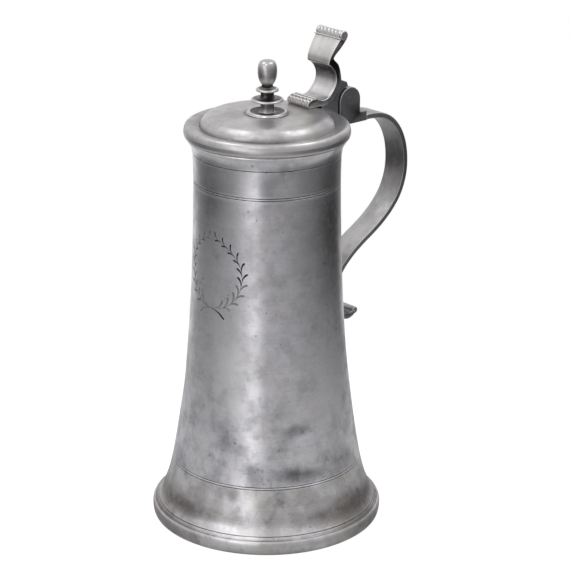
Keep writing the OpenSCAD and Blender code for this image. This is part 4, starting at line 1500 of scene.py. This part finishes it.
def thumb_half(z):
    """Half the thumbpiece's width at a height: narrowest at its beak."""
    size = sizes()
    tall = THUMB_Z - CROWN_Z
    heights = [CROWN_Z, CROWN_Z + THUMB_WAIST_SHARE * tall, CROWN_Z + ROLL_Z_SHARE * tall, THUMB_Z]
    halves = [FOOT_W_SHARE * size.thumb_w / 2, size.thumb_w / 2, size.roll_w / 2, size.roll_w / 2]
    return float(np.interp(z, heights, halves))


def thumb_dish(x, z):
    """Depth of the dish at a point of the thumbpiece's outline: only on its front."""
    share_x = (x - THUMB_X) / (HINGE.x - THUMB_X)
    share_z = (z - CROWN_Z) / (THUMB_Z - CROWN_Z)
    for start, end, furthest, slope in DISHES:
        t = (share_z - start) / (end - start)
        if 0 < t < 1 and share_x < furthest + slope * share_z:
            return sizes().thumb_dish * (1 - abs(2 * t - 1) ** DISH_FULLNESS)
    return 0.0


class FLAGON_OT_thumbpiece(bpy.types.Operator):
    """Cast the scrolled thumbpiece, its gadrooned roll and its beaded foot"""
    bl_idname = "flagon.thumbpiece"
    bl_label = "Thumbpiece"

    def execute(self, context):
        size = sizes()
        outline = thumb_points(NOSE_SHARES[:2]) + smooth(thumb_points(NOSE_SHARES[1:]), steps=5)[1:]
        outline += smooth(thumb_points(BOW_SHARES))[1:] + smooth(thumb_points(PLATE_SHARES), steps=7)
        outline += smooth(thumb_points(ROLL_SHARES), steps=5) + smooth(thumb_points(BACK_SHARES))[1:]
        outline += smooth(thumb_points(HUMP_SHARES))[1:-1]
        roll_x, roll_z = thumb_points((ROLL_CENTRE_SHARES,))[0]
        roll_r = ROLL_RADIUS_SHARE * (THUMB_Z - CROWN_Z)
        roll_box = (roll_x, roll_z, roll_r, roll_r)
        rows = thumb_points(TOE_ROW_SHARES)
        dirt = dirt_and_painted_light_in((THUMB_X, CROWN_Z, HINGE.x - THUMB_X, THUMB_Z - CROWN_Z), THUMB_DIRT_AND_PAINTED_LIGHT_SHARES)
        dirt += dirt_and_painted_light_in(roll_box, ROLL_DIRT_SHARES) + [(*place, *TOE_DIRT) for place in rows]
        edge = size.edge_round
        body = slab("thumb", outline, thumb_half, edge, dirt, dish=thumb_dish, sides=FLAT_SIDE_PAINTED_SHADE)
        side = (size.roll_w - ROLL_END_W) / 2 + ROLL_PROUD
        end_outline = arc(roll_x, roll_z, roll_r + ROLL_PROUD, *ROLL_ARC)
        ends = [slab("roll_end", end_outline, lambda z: ROLL_END_W / 2, edge,
                     dirt_and_painted_light_in(roll_box, ROLL_END_RUB_SHARES), centre=centre) for centre in (-side, side)]
        metal = thumb_pewter()
        finished(joined("cast_thumbpiece", [body, *ends]), metal, LID, "thumbpiece_pewter", "thumbpiece")

        half = size.roll_w / 2 - ROLL_END_W - RIDGE_HEM
        meshes = [grown("gadroons", gadroon_tree(), {
            "Count": size.gadroon_count, "Start": (roll_x, -half + RIDGE_SLANT / 2, roll_z),
            "End": (roll_x, half + RIDGE_SLANT / 2, roll_z), "Roll Radius": roll_r - RIDGE_SUNK,
            "First Angle": math.radians(RIDGE_START), "Turns": RIDGE_TURNS, "Slant": RIDGE_SLANT,
            "Ridge Width": RIDGE_W, "Material": metal})]
        beads = bead_row_tree()

        def bead_row(x, z, half, count, bead, tilt, zigzag):
            meshes.append(grown("beads", beads, {
                "Count": count, "Start": (x, -half, z), "End": (x, half, z), "Bead Size": bead,
                "Tilt": tilt, "Zigzag": zigzag, "Material": metal}))

        (x, z), = thumb_points((ROLL_BEAD_SHARES,))
        bead_row(x, z, size.roll_w / 2 - ROLL_BEAD_HEM, ROLL_BEADS, ROLL_BEAD_SIZE, 0.0, 0.0)
        toe_half = thumb_half(rows[0][1]) - TOE_HEM
        for (x, z), tilt in zip(rows, TOE_TILTS):
            bead_row(x, z, toe_half, size.bead_count, TOE_BEAD_SIZE, tilt, TOE_ZIGZAG)
        trim = joined("thumb_ornament", meshes)
        trim.data.shade_smooth()
        set_wear_and_painted_light(trim.data, [TRIM_WEAR] * len(trim.data.vertices))
        finished(trim, metal, LID, "thumbpiece_pewter")
        return {"FINISHED"}


# The studio

FLOOR_R = 0.36
FLOOR_DROP = 0.1 * MM
# Brightness that metal sees round the room, by azimuth in degrees to the right
# of the camera, below the horizon and above it: a pale wall behind the flagon,
# darker sides and a lit ceiling
LOWER = ((-180, 0.95), (-150, 0.85), (-132, 0.25), (-100, 0.07), (-60, 0.1), (-12, 0.26), (10, 0.32),
         (30, 0.22), (60, 0.05), (110, 0.02), (140, 0.03), (152, 0.6), (165, 0.9), (180, 0.95))
UPPER = ((-180, 0.95), (-140, 0.85), (-100, 0.72), (-50, 0.85), (10, 0.62), (80, 0.58), (120, 0.4),
         (155, 0.85), (180, 0.95))
CEILING = 0.85
# Heights of a direction at which the upper tones and the ceiling take over
HORIZON = (-0.22, 0.05)
CEILING_EDGE = (0.25, 0.62)
# Brightness of the room for light that isn't mirrored
SOFT_ROOM = 0.8
# What the camera sees of the floor: almost white, with the shadow left on it
FLOOR_GLOW = 0.95
FLOOR_FAINT = 0.16
FLOOR_NOISE = (300, 2, 0.5)
FLOOR_MOTTLE = (0.3, 0.7, 0.0, 0.03)
FLOOR_SIDES = 128
# Each lamp's azimuth, elevation, width, height and lean from the camera's side, and its power
LAMPS = (
    ("strip_light", -30, 8, 0.42, 1.3, 44, "strip_power"),
    ("front_light", -20, 50, 0.25, 0.5, 0, "front_power"),
    ("left_light", -92, 63, 0.5, 0.5, 0, "side_power"),
    ("right_light", 92, 63, 0.5, 0.5, 0, "side_power"),
)
LAMP_DISTANCE = 1.2
SENSOR = 36
NEAREST = 0.05


def grey(level):
    return (level, level, level, 1)


def facing(azimuth, elevation, distance):
    """A place as the camera has it: degrees to its right of the line to it, and degrees up."""
    a, e = math.radians(azimuth), math.radians(elevation)
    place = Vector((math.sin(a) * math.cos(e), -math.cos(a) * math.cos(e), math.sin(e))) * distance
    return Matrix.Rotation(-bpy.context.scene.flagon_studio.turn, 3, "Z") @ place


def lamp(name, azimuth, elevation, wide, tall, lean, power):
    """A lamp that faces the middle of the flagon, turned about that line by its lean."""
    aim = Vector((0, 0, MOUTH_Z / 2))
    light = bpy.data.lights.new(name, "AREA")
    light.shape = "RECTANGLE"
    light.size = wide
    light.size_y = tall
    light.energy = power
    made = bpy.data.objects.new(name, light)
    bpy.context.scene.collection.objects.link(made)
    made.location = aim + facing(azimuth, elevation, LAMP_DISTANCE)
    facing_aim = (aim - made.location).to_track_quat("-Z", "Y").to_matrix()
    made.rotation_euler = (facing_aim @ Matrix.Rotation(math.radians(lean), 3, "Z")).to_euler()
    made.visible_camera = False


def ring(tree, share, tones):
    """Tones round the room, each with its azimuth."""
    ramp = add(tree, "ShaderNodeValToRGB", {"Fac": share})
    ramp.color_ramp.interpolation = "EASE"
    stops = ramp.color_ramp.elements
    while len(stops) < len(tones):
        stops.new(0.5)
    for stop, (angle, level) in zip(stops, tones):
        stop.position = (angle + 180) / 360
        stop.color = grey(level)
    return ramp.outputs["Color"]


def rays(tree):
    """Whether a ray is seen from the camera, straight or through glass, and whether it is mirrored."""
    path = add(tree, "ShaderNodeLightPath").outputs
    return maths(tree, "MAXIMUM", path["Is Camera Ray"], path["Is Transmission Ray"]), path["Is Glossy Ray"]


def studio_world():
    """The pale room that lights the flagon and shows in its metal."""
    scene = bpy.context.scene
    world = bpy.data.worlds.new("studio")
    scene.world = world
    world.use_nodes = True
    tree = world.node_tree
    tree.nodes.clear()
    direction = add(tree, "ShaderNodeTexCoord").outputs["Generated"]
    turn = add(tree, "ShaderNodeVectorRotate",
               {"Vector": direction, "Angle": scene.flagon_studio.turn}, rotation_type="Z_AXIS").outputs[0]
    parts = add(tree, "ShaderNodeSeparateXYZ", {0: turn}).outputs
    azimuth = maths(tree, "ARCTAN2", parts["X"], maths(tree, "MULTIPLY", parts["Y"], -1.0))
    share = ranged(tree, azimuth, -math.pi, math.pi, 0.0, 1.0, "LINEAR")
    walls = mixed(tree, ranged(tree, parts["Z"], *HORIZON), ring(tree, share, LOWER),
                  ring(tree, share, UPPER))
    room = mixed(tree, ranged(tree, parts["Z"], *CEILING_EDGE), walls, grey(CEILING))
    seen, mirrored = rays(tree)
    soft = mixed(tree, mirrored, grey(SOFT_ROOM), room)
    background = add(tree, "ShaderNodeBackground",
                     {"Color": mixed(tree, seen, soft, grey(1)), "Strength": 1.0}).outputs[0]
    add(tree, "ShaderNodeOutputWorld", {"Surface": background})


def floor_material():
    """A pale floor, which the camera sees as almost white with the flagon's shadow on it."""
    made = bpy.data.materials.new("pale_floor")
    made.use_nodes = True
    tree = made.node_tree
    tree.nodes.clear()
    tone = (*colours().floor, 1)
    grain = noise(tree, add(tree, "ShaderNodeTexCoord").outputs["Object"], *FLOOR_NOISE)
    shade = mixed(tree, ranged(tree, grain, *FLOOR_MOTTLE), tone, grey(0.5))
    matt = add(tree, "ShaderNodeBsdfDiffuse", {"Color": shade}).outputs[0]
    glow = add(tree, "ShaderNodeEmission", {"Color": grey(1), "Strength": FLOOR_GLOW}).outputs[0]
    faint = add(tree, "ShaderNodeBsdfDiffuse", {"Color": grey(FLOOR_FAINT)}).outputs[0]
    white = add(tree, "ShaderNodeAddShader", {0: glow, 1: faint}).outputs[0]
    seen = rays(tree)[0]
    both = add(tree, "ShaderNodeMixShader", {0: seen, 1: matt, 2: white}).outputs[0]
    add(tree, "ShaderNodeOutputMaterial", {"Surface": both})
    return made


class FLAGON_OT_stage(bpy.types.Operator):
    """Set up the camera, the lamps, the world and the pale floor"""
    bl_idname = "flagon.stage"
    bl_label = "Stage"

    def execute(self, context):
        scene = context.scene
        studio = scene.flagon_studio
        ahead = Vector((0, math.cos(studio.tilt), -math.sin(studio.tilt)))
        right = Vector((1, 0, 0))
        up = Vector((0, math.sin(studio.tilt), math.cos(studio.tilt)))
        place = Vector((studio.aim_x, 0, studio.aim_z)) - ahead * studio.distance
        c, s = math.cos(studio.roll), math.sin(studio.roll)
        across, upright = right * c + up * s, up * c - right * s
        pose = Matrix((across, upright, -ahead)).transposed().to_4x4()
        pose.translation = place
        lens = bpy.data.cameras.new("camera")
        lens.sensor_width = SENSOR
        lens.lens = studio.lens
        lens.clip_start = NEAREST
        camera = bpy.data.objects.new("camera", lens)
        scene.collection.objects.link(camera)
        camera.matrix_world = Matrix.Rotation(-studio.turn, 4, "Z") @ pose
        scene.camera = camera
        scene.view_settings.view_transform = "Standard"

        studio_world()
        for *given, power in LAMPS:
            lamp(*given, getattr(studio, power))

        mesh = bpy.data.meshes.new("floor")
        bm = bmesh.new()
        bmesh.ops.create_circle(bm, cap_ends=True, segments=FLOOR_SIDES, radius=FLOOR_R)
        bmesh.ops.translate(bm, verts=bm.verts, vec=(0, 0, -FLOOR_DROP))
        bm.to_mesh(mesh)
        bm.free()
        floor = object_of("floor", mesh)
        floor.data.materials.append(floor_material())
        return {"FINISHED"}


class FLAGON_PT_panel(bpy.types.Panel):
    """Lists the flagon's pieces, sizes and colours"""
    bl_idname = "FLAGON_PT_panel"
    bl_label = "Flagon"
    bl_space_type = "VIEW_3D"
    bl_region_type = "UI"
    bl_category = "Flagon"

    def draw(self, context):
        column = self.layout.column()
        for operator in OPERATORS:
            column.operator(operator.bl_idname)
        for group in (context.scene.flagon_sizes, context.scene.flagon_colours, context.scene.flagon_studio):
            for name in group.__annotations__:
                column.prop(group, name)


OPERATORS = (FLAGON_OT_drum, FLAGON_OT_collar, FLAGON_OT_foot, FLAGON_OT_lid, FLAGON_OT_finial,
             FLAGON_OT_strap, FLAGON_OT_hinge, FLAGON_OT_thumbpiece, FLAGON_OT_stage)
GROUPS = {"flagon_sizes": FlagonSizes, "flagon_colours": FlagonColours, "flagon_studio": FlagonStudio}


def register():
    for kind in (*GROUPS.values(), *OPERATORS, FLAGON_PT_panel):
        bpy.utils.register_class(kind)
    for name, kind in GROUPS.items():
        setattr(bpy.types.Scene, name, PointerProperty(type=kind))


def unregister():
    for name in GROUPS:
        delattr(bpy.types.Scene, name)
    for kind in (FLAGON_PT_panel, *reversed(OPERATORS), *reversed(GROUPS.values())):
        bpy.utils.unregister_class(kind)


def main():
    register()
    for operator in OPERATORS:
        family, name = operator.bl_idname.split(".")
        getattr(getattr(bpy.ops, family), name)()


if __name__ == "__main__":
    main()
